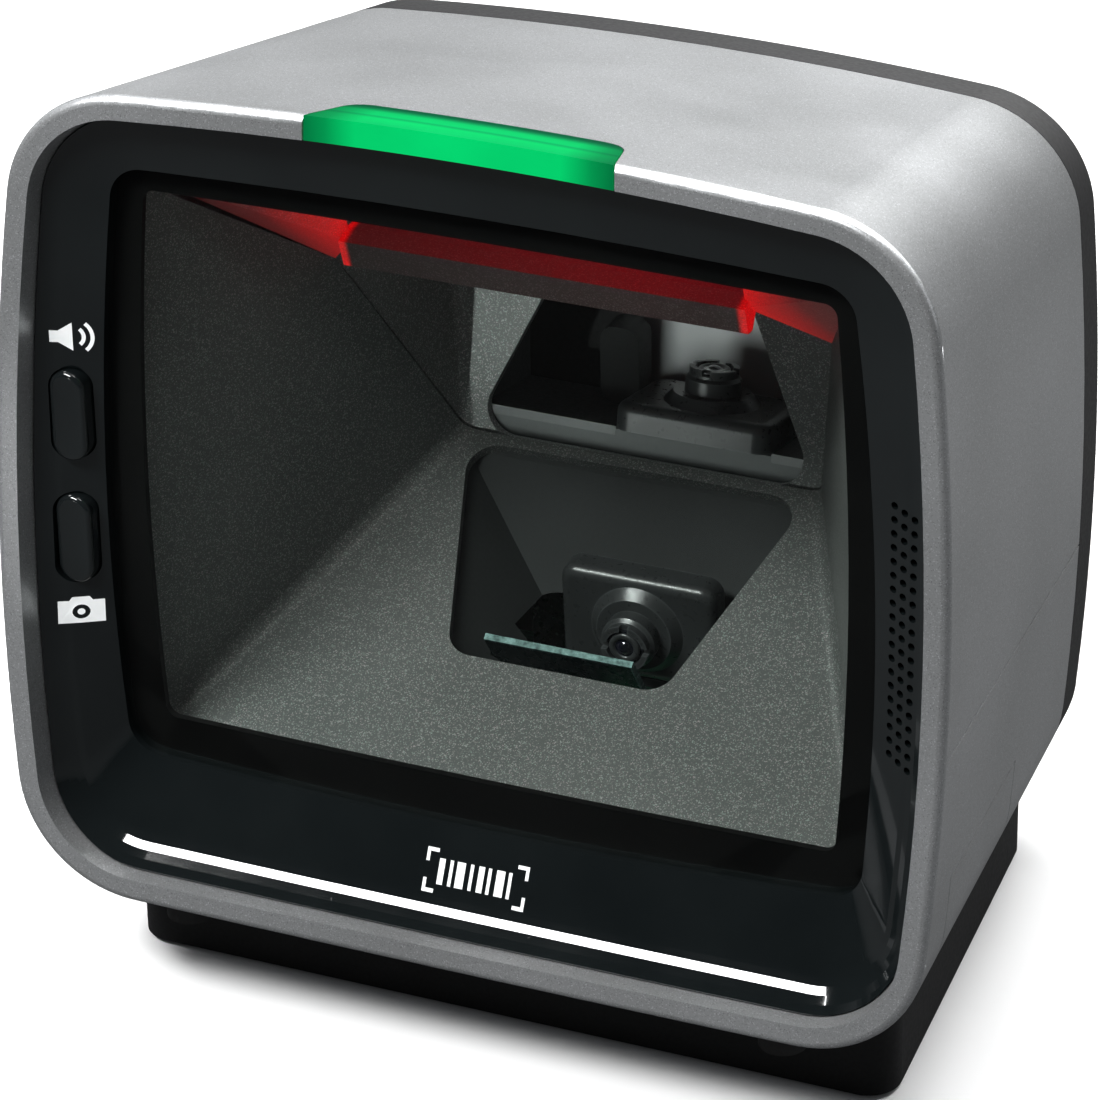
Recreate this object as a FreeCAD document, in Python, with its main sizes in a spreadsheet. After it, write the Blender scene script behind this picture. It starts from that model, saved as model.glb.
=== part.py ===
"""Upright presentation barcode scanner: parametric document, one object per physical piece.

Millimetres. +Z is up, -Y is the front (the scan window), X is the width. The origin is the centre
of the resting face. Every size is a cell of the spreadsheet "Sizes"; the pieces read those cells.
"""
import FreeCAD, Part
import math
import os
import re
import Sketcher
from FreeCAD import Placement, Rotation, Vector

doc = FreeCAD.newDocument("presentation_scanner")
sheet = doc.addObject("Spreadsheet::Sheet", "Sizes")
nodes = []

SIZES = {
    # Housing envelope: a bowed, rounded rectangle at the front, lofted to a smaller one at the rear.
    "front_y": -55.0, "front_half": 72.64, "front_wide": 76.9, "front_bow": 2.84,
    "front_top": 148.1, "front_crown": 1.86, "front_bottom": 18.1, "front_sag": 0.2,
    "front_corner": 19.0,
    "rear_y": 43.5, "rear_half": 63.66, "rear_wide": 68.0, "rear_bow": 2.6,
    "rear_top": 126.4, "rear_crown": 2.1, "rear_bottom": 11.4, "rear_sag": 0.2,
    "rear_corner": 18.0,
    "wall": 2.4, "lip_wall": 3.7, "lip_y": -51.0, "lip_z": 80.0, "lip_lean": 3.5,
    "lip_edge": 1.2, "shoulder_y": -41.6, "split_y": 32.0, "seam_gap": 0.25,
    "cover_y": 43.2, "cover_edge": 2.6,
    # Side seams: height at the front of the envelope and fall per millimetre towards the rear.
    "seam_height": 67.6, "seam_fall": 0.115, "seam_width": 0.35, "seam_depth": 0.3,
    "tray_height": 44.3, "tray_fall": 0.09, "tray_front": -52.4, "tray_rear": -3.0,
    # Front bezel: a dish that runs from a foot behind the lip back to the window.
    "bezel_gap": 0.25, "bezel_set": 3.2, "dish_margin": 4.5, "face_y": -42.28, "bezel_back": -39.6,
    "window_half": 58.76, "window_wide": 74.3, "window_bow": 3.1, "window_top": 132.47,
    "window_crown": 1.1, "window_bottom": 34.78, "window_sag": 1.41, "window_corner": 5.5,
    "glass_front": -41.4, "glass_gap": 0.2, "mask_back": -38.5, "mask_overlap": 0.8,
    "clear_half": 53.8, "clear_wide": 80.0, "clear_bow": 2.6, "clear_top": 127.6,
    "clear_crown": 0.5, "clear_bottom": 41.4, "clear_sag": 0.4, "clear_corner": 2.0,
    # Push buttons on the left of the window, with a switch behind each.
    "button_width": 5.6, "button_height": 14.2, "button_face": -45.6, "button_gap": 0.22,
    "collar_front": -39.4, "collar_thick": 0.8, "collar_reach": 1.2, "button_edge": 0.8,
    "volume_x": -62.6, "volume_z": 92.0, "camera_x": -62.85, "camera_z": 72.1,
    "plunger_radius": 1.4, "plunger_length": 1.7, "plunger_fit": 0.05,
    "switch_size": 5.0, "switch_height": 2.2, "switch_bore": 1.6,
    # Speaker holes: three columns of staggered holes.
    "hole_radius": 0.55, "hole_rows": 19, "hole_pitch": 2.13, "hole_columns": 3,
    "hole_step": 1.65, "hole_x": 61.6, "hole_z": 62.6,
    # Status light in a notch of the upper lip.
    "light_front_half": 23.8, "light_rear_half": 20.0, "light_rear": -35.6,
    "light_corner": 4.0, "light_gap": 0.15,
    # Scan cavity: sloping floor, two side walls and an upper wall that leans back.
    "cavity_front": -38.4, "floor_z": 36.8, "floor_half": 56.4, "ridge_y": 17.6,
    "ridge_z": 66.5, "ridge_half": 28.9, "brow_y": -5.6, "brow_z": 103.6, "brow_half": 38.6,
    "cavity_top": 127.6, "cavity_wall": 1.6, "cavity_blend": 2.6, "flange": 1.5,
    "chimney_top": 112.0, "chimney_lean": 10.0, "chimney_half": 35.4, "opening_corner": 4.5,
    "low_open_near": 2.0, "low_open_far": 39.2, "low_open_wide": 27.6, "low_open_narrow": 17.0,
    "high_open_near": -0.4, "high_open_far": 36.0, "high_open_wide": 28.1, "high_open_narrow": 11.4,
    # Light hood: a bar across the top of the cavity with a lit wing at each end.
    "hood_half": 31.0, "hood_y": -18.6, "hood_z": 113.1, "hood_front": 1.6, "hood_rear": 4.6,
    "hood_rise": 1.9, "hood_drop": 3.5, "wing_setback": 3.0, "wing_rise": 3.0,
    # Lamp strip behind the upper margin, and the small board under the status light.
    "strip_width": 60.0, "strip_depth": 8.0, "strip_y": -31.5, "strip_z": 134.5,
    "red_lamp_width": 3.2, "red_lamp_depth": 2.8, "red_lamp_height": 1.2, "lamp_pitch": 10.0,
    "status_width": 42.0, "status_depth": 7.0, "status_thick": 1.2, "status_y": -34.6,
    "status_z": 137.2, "green_lamp_side": 3.0, "green_lamp_height": 1.0,
    # Camera modules: the lower one looks forward, the upper one looks up.
    "module_width": 25.0, "module_depth": 18.0, "module_thick": 4.4, "module_corner": 2.6,
    "module_edge": 1.7, "boss_radius": 7.4, "boss_top": 6.0, "boss_height": 1.5,
    "barrel_radius": 4.3, "barrel_neck": 3.6, "barrel_height": 4.0, "barrel_ring": 2.2,
    "barrel_step": 0.5, "notch_width": 1.3, "notch_depth": 0.9, "barrel_bore": 1.2,
    "barrel_tail": 2.0, "barrel_fit": 0.05, "lens_radius": 2.9, "lens_depth": 1.0,
    "sensor_thick": 1.2, "sensor_gap": 0.1,
    "low_camera_x": 4.9, "low_camera_y": 3.6, "low_camera_z": 45.4, "low_camera_tilt": 4.0,
    "high_camera_x": 7.3, "high_camera_y": 28.2, "high_camera_z": 72.7, "high_camera_tilt": 12.0,
    # Bay under the floor's opening: leaning rear panel, cheeks, front wall and an arch.
    "bay_wall": 1.2, "bay_bottom": 35.0, "bay_rear_y": 15.9, "bay_rear_z": 63.9,
    "bay_rear_low_y": 5.2, "cheek_drop": 1.8, "cheek_foot_y": 8.7, "left_foot_x": 12.0,
    "left_foot_z": 44.0, "right_foot_x": 19.0, "right_foot_z": 38.0,
    "arch_radius": 8.0, "arch_x": -9.0, "arch_z": 38.0,
    # Fold mirror, leaning forwards in front of the lower camera.
    "mirror_width": 23.7, "mirror_height": 10.0, "mirror_thick": 1.0, "mirror_x": -1.9,
    "mirror_y": -8.3, "mirror_z": 43.7, "mirror_lean": 55.0, "mirror_slack": 0.2,
    # Bay behind the upper wall: shelf, apron and cheeks, with a panel and a block on the shelf.
    "shelf_near": 20.4, "shelf_far": 38.6, "shelf_half": 27.0, "shelf_thick": 1.4,
    "shelf_cheek_top": 94.0, "shelf_cheek_lean": 5.0,
    "apron_low": 63.5, "apron_high": 69.4, "apron_thick": 1.0,
    "panel_width": 34.0, "panel_height": 30.0, "panel_thick": 1.0, "panel_corner": 2.0,
    "panel_x": 6.0, "panel_y": 40.4, "side_block_width": 6.4, "side_block_height": 13.0,
    "side_block_depth": 5.0, "side_block_corner": 2.4, "side_block_x": -8.9, "side_block_y": 36.0,
    "stand_gap": 0.2,
    # Base, its ballast and its feet.
    "base_front_half": 60.9, "base_rear_half": 55.6, "base_half_depth": 38.0, "base_top": 22.0,
    "base_gap": 0.3, "base_wall": 2.6, "base_corner": 5.0, "base_lift": 0.8, "base_plate": 2.0,
    "pad_inset": 4.0, "pad_thick": 1.2,
    "bumper_radius": 3.6, "bumper_x": 47.0, "bumper_y": -45.5, "bumper_low": 12.4,
    "ballast_width": 84.0, "ballast_depth": 40.0, "ballast_height": 4.5,
    # Boards, sockets and fasteners.
    "board_thick": 1.6, "board_width": 96.0, "board_depth": 52.0, "board_z": 25.0,
    "board_y": 2.0, "board_corner": 2.0, "board_hole": 1.4, "board_margin": 4.0,
    "board_post_radius": 3.0, "board_post_height": 6.6, "board_post_bore": 3.6,
    "board_screw_length": 3.2, "chip_side": 11.0, "chip_height": 1.4,
    "key_board_width": 7.2, "key_board_height": 44.0, "key_board_x": -62.8, "key_board_z": 82.0,
    "socket_front": 24.0, "socket_sink": 0.6, "socket_height": 10.0, "socket_gap": 0.8,
    "socket_wall": 1.5, "socket_floor": 1.8, "socket_depth": 9.0, "tongue_depth": 7.0,
    "tongue_thick": 1.6, "tongue_side": 3.5, "tongue_lift": 4.2,
    "screw_radius": 1.3, "screw_head": 2.6, "screw_head_height": 1.6, "screw_length": 9.0,
    "screw_socket": 1.0, "screw_socket_depth": 0.9, "screw_fit": 0.15,
    "post_x": 57.0, "post_low": 46.0, "post_high": 94.0, "post_radius": 5.2, "post_front": 22.0,
    "post_rear": 36.0, "head_sink": 1.8, "neck_x": 34.0, "neck_front": 6.0, "neck_rear": 24.0,
    "speaker_width": 7.4, "speaker_height": 36.0, "speaker_depth": 6.0, "speaker_x": 63.5,
    "speaker_z": 82.0, "speaker_corner": 1.5, "speaker_rim": 0.8, "speaker_recess": 1.5,
    "speaker_pitch": 10.0,
}
for row, (alias, value) in enumerate(SIZES.items(), start=1):
    sheet.set(f"A{row}", alias)
    sheet.set(f"B{row}", str(value))
    sheet.setAlias(f"B{row}", alias)
doc.recompute()


def size(alias):
    """Value of one cell of the sheet."""
    return float(sheet.get(alias))


# ---------------------------------------------------------------- helpers: free-form pieces

SIDE_SPAN = 50.0      # bows and crowns are stated at this distance from the middle of a side
FAR = 200.0           # beyond every piece
CUT_REACH = 9.0       # half the depth of a cut through a thin wall


def outline(prefix, y, inset=0.0, lean=0.0, pivot_z=0.0):
    """Closed wire of a bowed rectangle with round corners, in the plane at y, inset all round."""
    half, wide, bow = (size(f"{prefix}_{k}") for k in ("half", "wide", "bow"))
    top, crown = size(f"{prefix}_top"), size(f"{prefix}_crown")
    bottom, sag = size(f"{prefix}_bottom"), size(f"{prefix}_sag")
    corner = size(f"{prefix}_corner")

    def side_x(z):
        return half - bow * ((z - wide) / SIDE_SPAN) ** 2

    def meet(level, curve):
        x = half
        for _ in range(6):
            x = side_x(level + curve * (x / SIDE_SPAN) ** 2)
        return x, level + curve * (x / SIDE_SPAN) ** 2

    top_x, top_z = meet(top, -crown)
    low_x, low_z = meet(bottom, sag)
    middle = (top_z + low_z) / 2

    def arc(a, b, c):
        return Part.Arc(*(Vector(x, 0, z) for x, z in (a, b, c))).toShape()

    sharp = Part.Wire([
        arc((-top_x, top_z), (0, top), (top_x, top_z)),
        arc((top_x, top_z), (side_x(middle), middle), (low_x, low_z)),
        arc((low_x, low_z), (0, bottom), (-low_x, low_z)),
        arc((-low_x, low_z), (-side_x(middle), middle), (-top_x, top_z)),
    ])
    shrunk = Part.Face(sharp).makeOffset2D(-corner)
    rounded = shrunk.makeOffset2D(corner - inset)
    rounded.Placement = Placement(
        Vector(0, y, 0), Rotation(Vector(1, 0, 0), -lean), Vector(0, 0, pivot_z))
    return rounded.OuterWire


def prism(prefix, y_front, y_rear, inset=0.0):
    """Straight prism along Y with the named outline."""
    return Part.Face(outline(prefix, y_front, inset)).extrude(Vector(0, y_rear - y_front, 0))


def envelope(inset):
    """Solid of the housing's outer form, inset all round."""
    wires = [outline("front", size("front_y"), inset), outline("rear", size("rear_y"), inset)]
    return Part.makeLoft(wires, True, True)


def slab(y_low, y_high):
    """Large block between two planes of constant y."""
    return Part.makeBox(200, y_high - y_low, 200, Vector(-100, y_low, -20))


def behind_lip(offset):
    """Large block behind the leaning front plane of the lip, moved back by offset."""
    block = Part.makeBox(200, 200, 260, Vector(-100, 0, -130))
    block.Placement = Placement(
        Vector(0, size("lip_y") + offset, size("lip_z")),
        Rotation(Vector(1, 0, 0), -size("lip_lean")))
    return block


def below_line(height, fall, y_low, y_high):
    """Block under a line that starts at height at the front and falls towards the rear."""
    def level(y):
        return height - fall * (y - size("front_y"))
    corners = [(y_low, -20), (y_high, -20), (y_high, level(y_high)), (y_low, level(y_low))]
    points = [Vector(-100, y, z) for y, z in corners]
    return Part.Face(Part.makePolygon(points + points[:1])).extrude(Vector(200, 0, 0))


def plate(points, thickness, towards):
    """Flat plate on a polygon of points, thickened to the side that a vector points to."""
    face = Part.Face(Part.makePolygon(points + points[:1]))
    normal = face.normalAt(0, 0)
    if normal.dot(towards) < 0:
        normal = normal * -1
    return face.extrude(normal * thickness)


def add_feature(label, shape):
    """Free-form piece: a Part::Feature with a ready shape."""
    feature = doc.addObject("Part::Feature", label)
    feature.Label = label
    feature.Shape = shape
    feature.Placement = Placement()
    nodes.append(feature)
    return feature


# ---------------------------------------------------------------- helpers: sketched pieces

def bound(target, path, expression):
    """Bind one property of an object to an expression of the sheet's cells."""
    def qualified(word):
        return f"Sizes.{word.group()}" if word.group() in SIZES else word.group()
    target.setExpression(path, re.sub(r"[a-z_]+", qualified, expression))


def value_of(expression):
    """Number that an expression of the sheet's cells comes to."""
    result = sheet.evalExpression(expression)
    return float(getattr(result, "Value", result))


def new_body(label):
    body = doc.addObject("PartDesign::Body", label)
    body.Label = label
    return body


def base_plane(body, role):
    return next(item for item in body.Origin.OriginFeatures if item.Role == role)


def new_sketch(body, name, role, offset=None):
    """Sketch on one of the body's own origin planes, raised by an expression."""
    sketch = body.newObject("Sketcher::SketchObject", name)
    sketch.AttachmentSupport = [(base_plane(body, role), "")]
    sketch.MapMode = "FlatFace"
    if offset is not None:
        bound(sketch, ".AttachmentOffset.Base.z", offset)
    return sketch


def locate(sketch, geometry, vertex, x, y):
    """Fix a vertex at the place given by two expressions."""
    for kind, axis, expression in (("DistanceX", -2, x), ("DistanceY", -1, y)):
        if expression == "0":
            sketch.addConstraint(Sketcher.Constraint("PointOnObject", geometry, vertex, axis))
        else:
            index = sketch.addConstraint(
                Sketcher.Constraint(kind, -1, 1, geometry, vertex, value_of(expression)))
            bound(sketch, f"Constraints[{index}]", expression)


def polygon(sketch, points):
    """Closed polygon whose corners are pairs of expressions."""
    spots = [Vector(value_of(x), value_of(y), 0) for x, y in points]
    first = sketch.GeometryCount
    count = len(points)
    for i in range(count):
        sketch.addGeometry(Part.LineSegment(spots[i], spots[(i + 1) % count]), False)
    for i in range(count):
        after = first + (i + 1) % count
        sketch.addConstraint(Sketcher.Constraint("Coincident", first + i, 2, after, 1))
        locate(sketch, first + i, 1, *points[i])


def circle(sketch, x, y, radius):
    """Circle whose centre and radius are expressions."""
    centre = Vector(value_of(x), value_of(y), 0)
    index = sketch.addGeometry(Part.Circle(centre, Vector(0, 0, 1), value_of(radius)), False)
    locate(sketch, index, 3, x, y)
    constraint = sketch.addConstraint(Sketcher.Constraint("Radius", index, value_of(radius)))
    bound(sketch, f"Constraints[{constraint}]", radius)


def rectangle(sketch, width, height, x="0", y="0"):
    """Rectangle about a centre, from expressions."""
    def edge(centre, extent, sign):
        return f"({centre}) {sign} ({extent}) / 2"
    polygon(sketch, [
        (edge(x, width, "-"), edge(y, height, "-")), (edge(x, width, "+"), edge(y, height, "-")),
        (edge(x, width, "+"), edge(y, height, "+")), (edge(x, width, "-"), edge(y, height, "+"))])


def pad(body, sketch, length, inward=False):
    feature = body.newObject("PartDesign::Pad", sketch.Name + "_pad")
    feature.Profile = sketch
    bound(feature, "Length", length)
    feature.Reversed = inward
    return feature


def pocket(body, sketch, length):
    feature = body.newObject("PartDesign::Pocket", sketch.Name + "_pocket")
    feature.Profile = sketch
    bound(feature, "Length", length)
    return feature


def turn(body, sketch):
    feature = body.newObject("PartDesign::Revolution", sketch.Name + "_turned")
    feature.Profile = sketch
    feature.ReferenceAxis = (sketch, ["V_Axis"])
    feature.Angle = 360.0
    return feature


def round_edges(body, previous, radius, chosen):
    """Fillet the edges of the previous feature for which chosen(edge) is true."""
    doc.recompute()
    names = [f"Edge{i + 1}" for i, edge in enumerate(previous.Shape.Edges) if chosen(edge)]
    feature = body.newObject("PartDesign::Fillet", previous.Name + "_round")
    feature.Base = (previous, names)
    bound(feature, "Radius", radius)
    return feature


def upright(edge):
    """True for a straight edge along the body's own Z."""
    a, b = edge.Vertexes[0].Point, edge.Vertexes[-1].Point
    return len(edge.Vertexes) == 2 and abs(a.x - b.x) + abs(a.y - b.y) < 1e-6


def level_at(height):
    """Test for edges that lie in the body's own plane z = height."""
    return lambda edge: all(abs(vertex.Point.z - height) < 1e-6 for vertex in edge.Vertexes)


def board(label, width, height, thickness, corner=None, holes=()):
    """Plate in the body's XY plane, centred, with optional round corners and drilled holes."""
    body = new_body(label)
    sketch = new_sketch(body, label + "_outline", "XY_Plane")
    rectangle(sketch, width, height)
    for x, y, radius in holes:
        circle(sketch, x, y, radius)
    last = pad(body, sketch, thickness)
    if corner:
        round_edges(body, last, corner, upright)
    return body


def turned(label, profile):
    """Solid of revolution about the body's Z from (radius, height) pairs of expressions."""
    body = new_body(label)
    sketch = new_sketch(body, label + "_profile", "XZ_Plane")
    polygon(sketch, profile)
    turn(body, sketch)
    return body


def keep(body, place=None):
    """Enter a body as a node, at its place in the assembly."""
    body.Placement = place or Placement()
    nodes.append(body)
    return body


def copies(label, master, places):
    """One node holding a separate solid of the master body at each place."""
    doc.recompute()
    solids = []
    for place in places:
        solid = master.Shape.copy()
        solid.Placement = place
        solids.append(solid)
    return add_feature(label, Part.makeCompound(solids))


def at(x, y, z, rotation=Rotation()):
    return Placement(Vector(x, y, z), rotation)


FACING_FRONT = Rotation(Vector(1, 0, 0), 90)     # local +Z turns to the front, -Y
FACING_REAR = Rotation(Vector(1, 0, 0), -90)     # local +Z turns to the rear, +Y
FACING_DOWN = Rotation(Vector(1, 0, 0), 180)     # local +Z turns down

DISH_STEPS = 5                                   # flat bands that make up the dish's hollow margin
DISH_EVEN, DISH_HOLLOW = 0.234, 0.266            # shares of the dish's depth: straight and curved
BUTTONS = ("volume", "camera")
SOCKETS = ((-14.0, 14.0), (12.0, 16.0))          # centre and width of each socket
CHIPS = ((-28, -8), (-10, -12), (14, -10), (32, 4), (-32, 10))     # on the main board


def rounded(points, corner):
    """Face of a convex polygon of (x, y) pairs with round corners."""
    spots = [Vector(x, y, 0) for x, y in points]
    sharp = Part.Face(Part.makePolygon(spots + spots[:1]))
    return Part.Face(sharp.makeOffset2D(-corner).makeOffset2D(corner).OuterWire)


def stadium(x, z, grow, y_front, y_rear):
    """Upright stadium prism along Y about a button's centre."""
    width, height = size("button_width") + 2 * grow, size("button_height") + 2 * grow
    half, straight = width / 2, (height - width) / 2
    ends = [Vector(half, 0, -straight), Vector(half, 0, straight),
            Vector(-half, 0, straight), Vector(-half, 0, -straight)]
    caps = [Part.Arc(ends[1], Vector(0, 0, straight + half), ends[2]).toShape(),
            Part.Arc(ends[3], Vector(0, 0, -straight - half), ends[0]).toShape()]
    sides = [Part.LineSegment(ends[0], ends[1]).toShape(),
             Part.LineSegment(ends[2], ends[3]).toShape()]
    wire = Part.Wire([sides[0], caps[0], sides[1], caps[1]])
    wire.translate(Vector(x, y_front, z))
    return Part.Face(wire).extrude(Vector(0, y_rear - y_front, 0))


def biggest(shape):
    """Largest solid of a boolean's result."""
    return max(shape.Solids, key=lambda solid: solid.Volume)


# ---------------------------------------------------------------- the case

def light_notch(grow):
    """Plan of the status light, extruded upwards through the upper lip."""
    front, rear = size("light_front_half") + grow, size("light_rear_half") + grow
    back = size("light_rear") + grow
    points = [(-front, size("front_y") - 20), (front, size("front_y") - 20),
              (front, size("lip_y")), (rear, back), (-rear, back), (-front, size("lip_y"))]
    face = rounded(points, size("light_corner") + grow)
    solid = face.extrude(Vector(0, 0, 40))
    solid.translate(Vector(0, 0, size("cavity_top")))
    return solid


def seam_ring():
    """Thin sheet at the side seam, kept only where it bites into the outer faces."""
    height, fall, width = size("seam_height"), size("seam_fall"), size("seam_width")
    upper = below_line(height, fall, size("lip_y") + 1, size("split_y"))
    lower = below_line(height - width, fall, size("lip_y"), size("split_y") + 1)
    return upper.cut(lower).cut(envelope(size("seam_depth")))


def tray_region(gap):
    """Space of the tray that closes the underside, grown by a gap."""
    return below_line(size("tray_height") + gap, size("tray_fall"),
                      size("tray_front") - gap, size("tray_rear") + gap)


def post_spots():
    """Sides and heights of the four screw posts inside the case."""
    return [(side * size("post_x"), z) for side in (-1, 1) for z in (size("post_low"), size("post_high"))]


def rear_screw_places():
    """Heads of the four screws that hold the rear cover, sunk into its back."""
    depth = size("cover_y") - size("head_sink")
    return [at(x, depth, z, FACING_REAR) for x, z in post_spots()]


def neck_screw_places():
    """Heads of the four screws that hold the head on the base, under the base's top wall."""
    places = []
    for side in (-1, 1):
        for y in (size("neck_front"), size("neck_rear")):
            places.append(at(side * size("neck_x"), y, underside(y) - size("base_wall"), FACING_DOWN))
    return places


def underside(y):
    """Height of the base's top face under the case, on the middle of the case."""
    fall = (size("front_bottom") - size("rear_bottom")) / (size("rear_y") - size("front_y"))
    return size("front_bottom") - size("base_gap") - fall * (y - size("front_y"))


def screw_bores(places):
    """Clearance for the shank and the head of a screw at each place."""
    cuts = []
    for place in places:
        along = place.Rotation.multVec(Vector(0, 0, 1))
        fit = size("screw_fit")
        cuts.append(Part.makeCylinder(
            size("screw_radius") + fit, size("screw_length") + fit, place.Base, along * -1))
        cuts.append(Part.makeCylinder(size("screw_head") + fit, 20, place.Base, along))
    return Part.makeCompound(cuts)


def make_housing():
    outer = envelope(0).common(behind_lip(0)).common(slab(-60, size("split_y")))
    lip_faces = [face for face in outer.Faces if face.CenterOfMass.y < size("lip_y") + 5
                 and face.BoundBox.YLength < 10]
    rim = max(lip_faces, key=lambda face: face.Area)
    outer = outer.makeFillet(size("lip_edge"), rim.Edges)
    shoulder = size("shoulder_y")
    housing = outer.cut(envelope(size("lip_wall")).common(slab(-60, shoulder)))
    housing = housing.cut(envelope(size("wall")).common(slab(shoulder, size("split_y") + 1)))
    tray = housing.common(tray_region(0)).common(slab(shoulder, size("split_y")))
    housing = housing.cut(tray_region(size("seam_gap")).common(slab(shoulder - size("seam_gap"), 0)))
    housing = housing.cut(light_notch(0)).cut(seam_ring())
    for x, z in post_spots():
        post = Part.makeCylinder(size("post_radius"), size("post_rear") - size("post_front"),
                                 Vector(x, size("post_front"), z), Vector(0, 1, 0))
        post = post.common(envelope(size("wall") / 2))
        free = size("wall") + size("seam_gap")
        post = post.cut(slab(size("split_y") - size("seam_gap"), FAR).cut(envelope(free)))
        housing = housing.fuse(post)
    housing = housing.cut(screw_bores(rear_screw_places())).cut(screw_bores(neck_screw_places()))
    add_feature("main_housing", biggest(housing))
    add_feature("lower_tray", biggest(tray))


def make_rear_cover():
    start, rear, wall = size("split_y") + size("seam_gap"), size("cover_y"), size("wall")
    cover = envelope(0).common(slab(start, rear))
    back = max(cover.Faces, key=lambda face: face.CenterOfMass.y)
    cover = cover.makeFillet(size("cover_edge"), back.Edges)
    cover = cover.cut(envelope(wall).common(slab(start - 1, rear - wall)))
    for x, z in post_spots():
        post_start = size("post_rear") + size("seam_gap")
        post = Part.makeCylinder(size("post_radius") - 1, rear - wall / 2 - post_start,
                                 Vector(x, post_start, z), Vector(0, 1, 0))
        cover = cover.fuse(post.common(envelope(wall / 2)))
    for x, width in SOCKETS:
        gap = size("socket_gap")
        side, up = width + 2 * gap, size("socket_height") + 2 * gap
        low = size("board_z") + size("board_thick") - gap
        cover = cover.cut(Part.makeBox(side, 20, up, Vector(x - side / 2, rear - 10, low)))
    add_feature("rear_cover", biggest(cover.cut(screw_bores(rear_screw_places()))))


def dish_section(inset, share):
    """Front outline part of the way from the leaning foot plane to the upright window plane."""
    foot_y, face_y = size("lip_y") + size("bezel_set"), size("face_y")
    lean = math.tan(math.radians(size("lip_lean"))) * (1 - share)
    y = foot_y + share * (face_y - foot_y)
    return outline("front", y, inset, math.degrees(math.atan(lean)), size("lip_z"))


def dish():
    """Space in front of the bezel: a hollow margin that flattens into an even slope to the window."""
    inset, margin = size("lip_wall"), size("dish_margin")
    sections = []
    for step in range(DISH_STEPS + 1):
        t = step / DISH_STEPS
        share = DISH_EVEN * t + DISH_HOLLOW * (1 - (1 - t) ** 2)
        sections.append(dish_section(inset + margin * t, share))
    sections.append(outline("window", size("face_y")))
    return Part.makeLoft(sections, True, True)


def drilled(shape, tool):
    """Shape with a tool cut out of it; stops the build if the cut takes nothing away."""
    result = shape.cut(tool)
    if shape.Volume - result.Volume < 1.0:
        raise RuntimeError("a cut removed nothing")
    return result


def make_bezel():
    snug = size("lip_wall") + size("bezel_gap")
    back, gap = size("bezel_back"), size("seam_gap")
    front = envelope(snug).common(slab(-60, back)).common(behind_lip(size("bezel_set")))
    flange = envelope(size("wall") + gap).common(slab(size("shoulder_y") + 0.05, back))
    bezel = front.fuse(flange).cut(dish())
    bezel = bezel.cut(prism("window", -60, 0))
    for name in BUTTONS:
        x, z = size(f"{name}_x"), size(f"{name}_z")
        bezel = drilled(bezel, stadium(x, z, size("button_gap"), -60, 0))
    holes = []
    for column in range(int(size("hole_columns"))):
        for row_index in range(int(size("hole_rows"))):
            x = size("hole_x") + column * size("hole_step")
            z = size("hole_z") + (row_index - column * 0.25) * size("hole_pitch")
            holes.append(Part.makeCylinder(
                size("hole_radius"), 30, Vector(x, -60, z), Vector(0, 1, 0)))
    bezel = drilled(bezel, Part.makeCompound(holes))
    add_feature("front_bezel", biggest(bezel))


def make_window():
    gap, front, back = size("glass_gap"), size("glass_front"), size("bezel_back")
    add_feature("window_glass", prism("window", front, back, gap))
    frame = prism("window", back, size("mask_back"), -size("mask_overlap"))
    add_feature("window_frame", frame.cut(prism("clear", -60, 0)))


def make_light():
    gap, shoulder = size("light_gap"), size("shoulder_y")
    light = envelope(0).common(light_notch(-gap)).common(behind_lip(gap))
    light = light.cut(envelope(size("lip_wall")).common(slab(-60, shoulder)))
    light = light.cut(envelope(size("wall")).common(slab(shoulder, 0)))
    add_feature("status_light", biggest(light))


# ---------------------------------------------------------------- the scan cavity

def solid_of(faces, middle):
    """Convex solid around a middle point, bounded by planes, each given by points on it."""
    solid = Part.makeBox(*[2 * FAR] * 3, Vector(-FAR, -FAR, -FAR))
    for points in faces:
        normal = (points[1] - points[0]).cross(points[2] - points[0]).normalize()
        if normal.dot(middle - points[0]) > 0:
            normal = normal * -1
        beyond = Part.makeBox(*[4 * FAR] * 3, Vector(-2 * FAR, -2 * FAR, 0))
        beyond.Placement = Placement(points[0], Rotation(Vector(0, 0, 1), normal))
        solid = solid.cut(beyond)
    return biggest(solid)


def hollowed(solid, open_faces, thickness):
    """Skin of a thickness outside the solid, left open at some faces."""
    return solid.makeThickness(open_faces, thickness, 1e-3)


def on_side_wall(y, z):
    """Half-width of the cavity's side wall, which is one plane through three named points."""
    a = Vector(size("floor_half"), size("cavity_front"), size("floor_z"))
    b = Vector(size("ridge_half"), size("ridge_y"), size("ridge_z"))
    c = Vector(size("brow_half"), size("brow_y"), size("brow_z"))
    normal = (b - a).cross(c - a)
    return a.x - (normal.y * (y - a.y) + normal.z * (z - a.z)) / normal.x


def pair(x, y, z):
    return Vector(-x, y, z), Vector(x, y, z)


def faces_near(shape, test):
    """Faces whose centre of mass satisfies a test."""
    return [face for face in shape.Faces if test(face.CenterOfMass)]


def edges_between(shape, start, end):
    """Edges that join two points."""
    def touches(edge, point):
        return any(vertex.Point.distanceToPoint(point) < 0.01 for vertex in edge.Vertexes)
    return [edge for edge in shape.Edges if touches(edge, start) and touches(edge, end)]


def floor_angle():
    rise = size("ridge_z") - size("floor_z")
    return math.degrees(math.atan2(rise, size("ridge_y") - size("cavity_front")))


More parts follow.
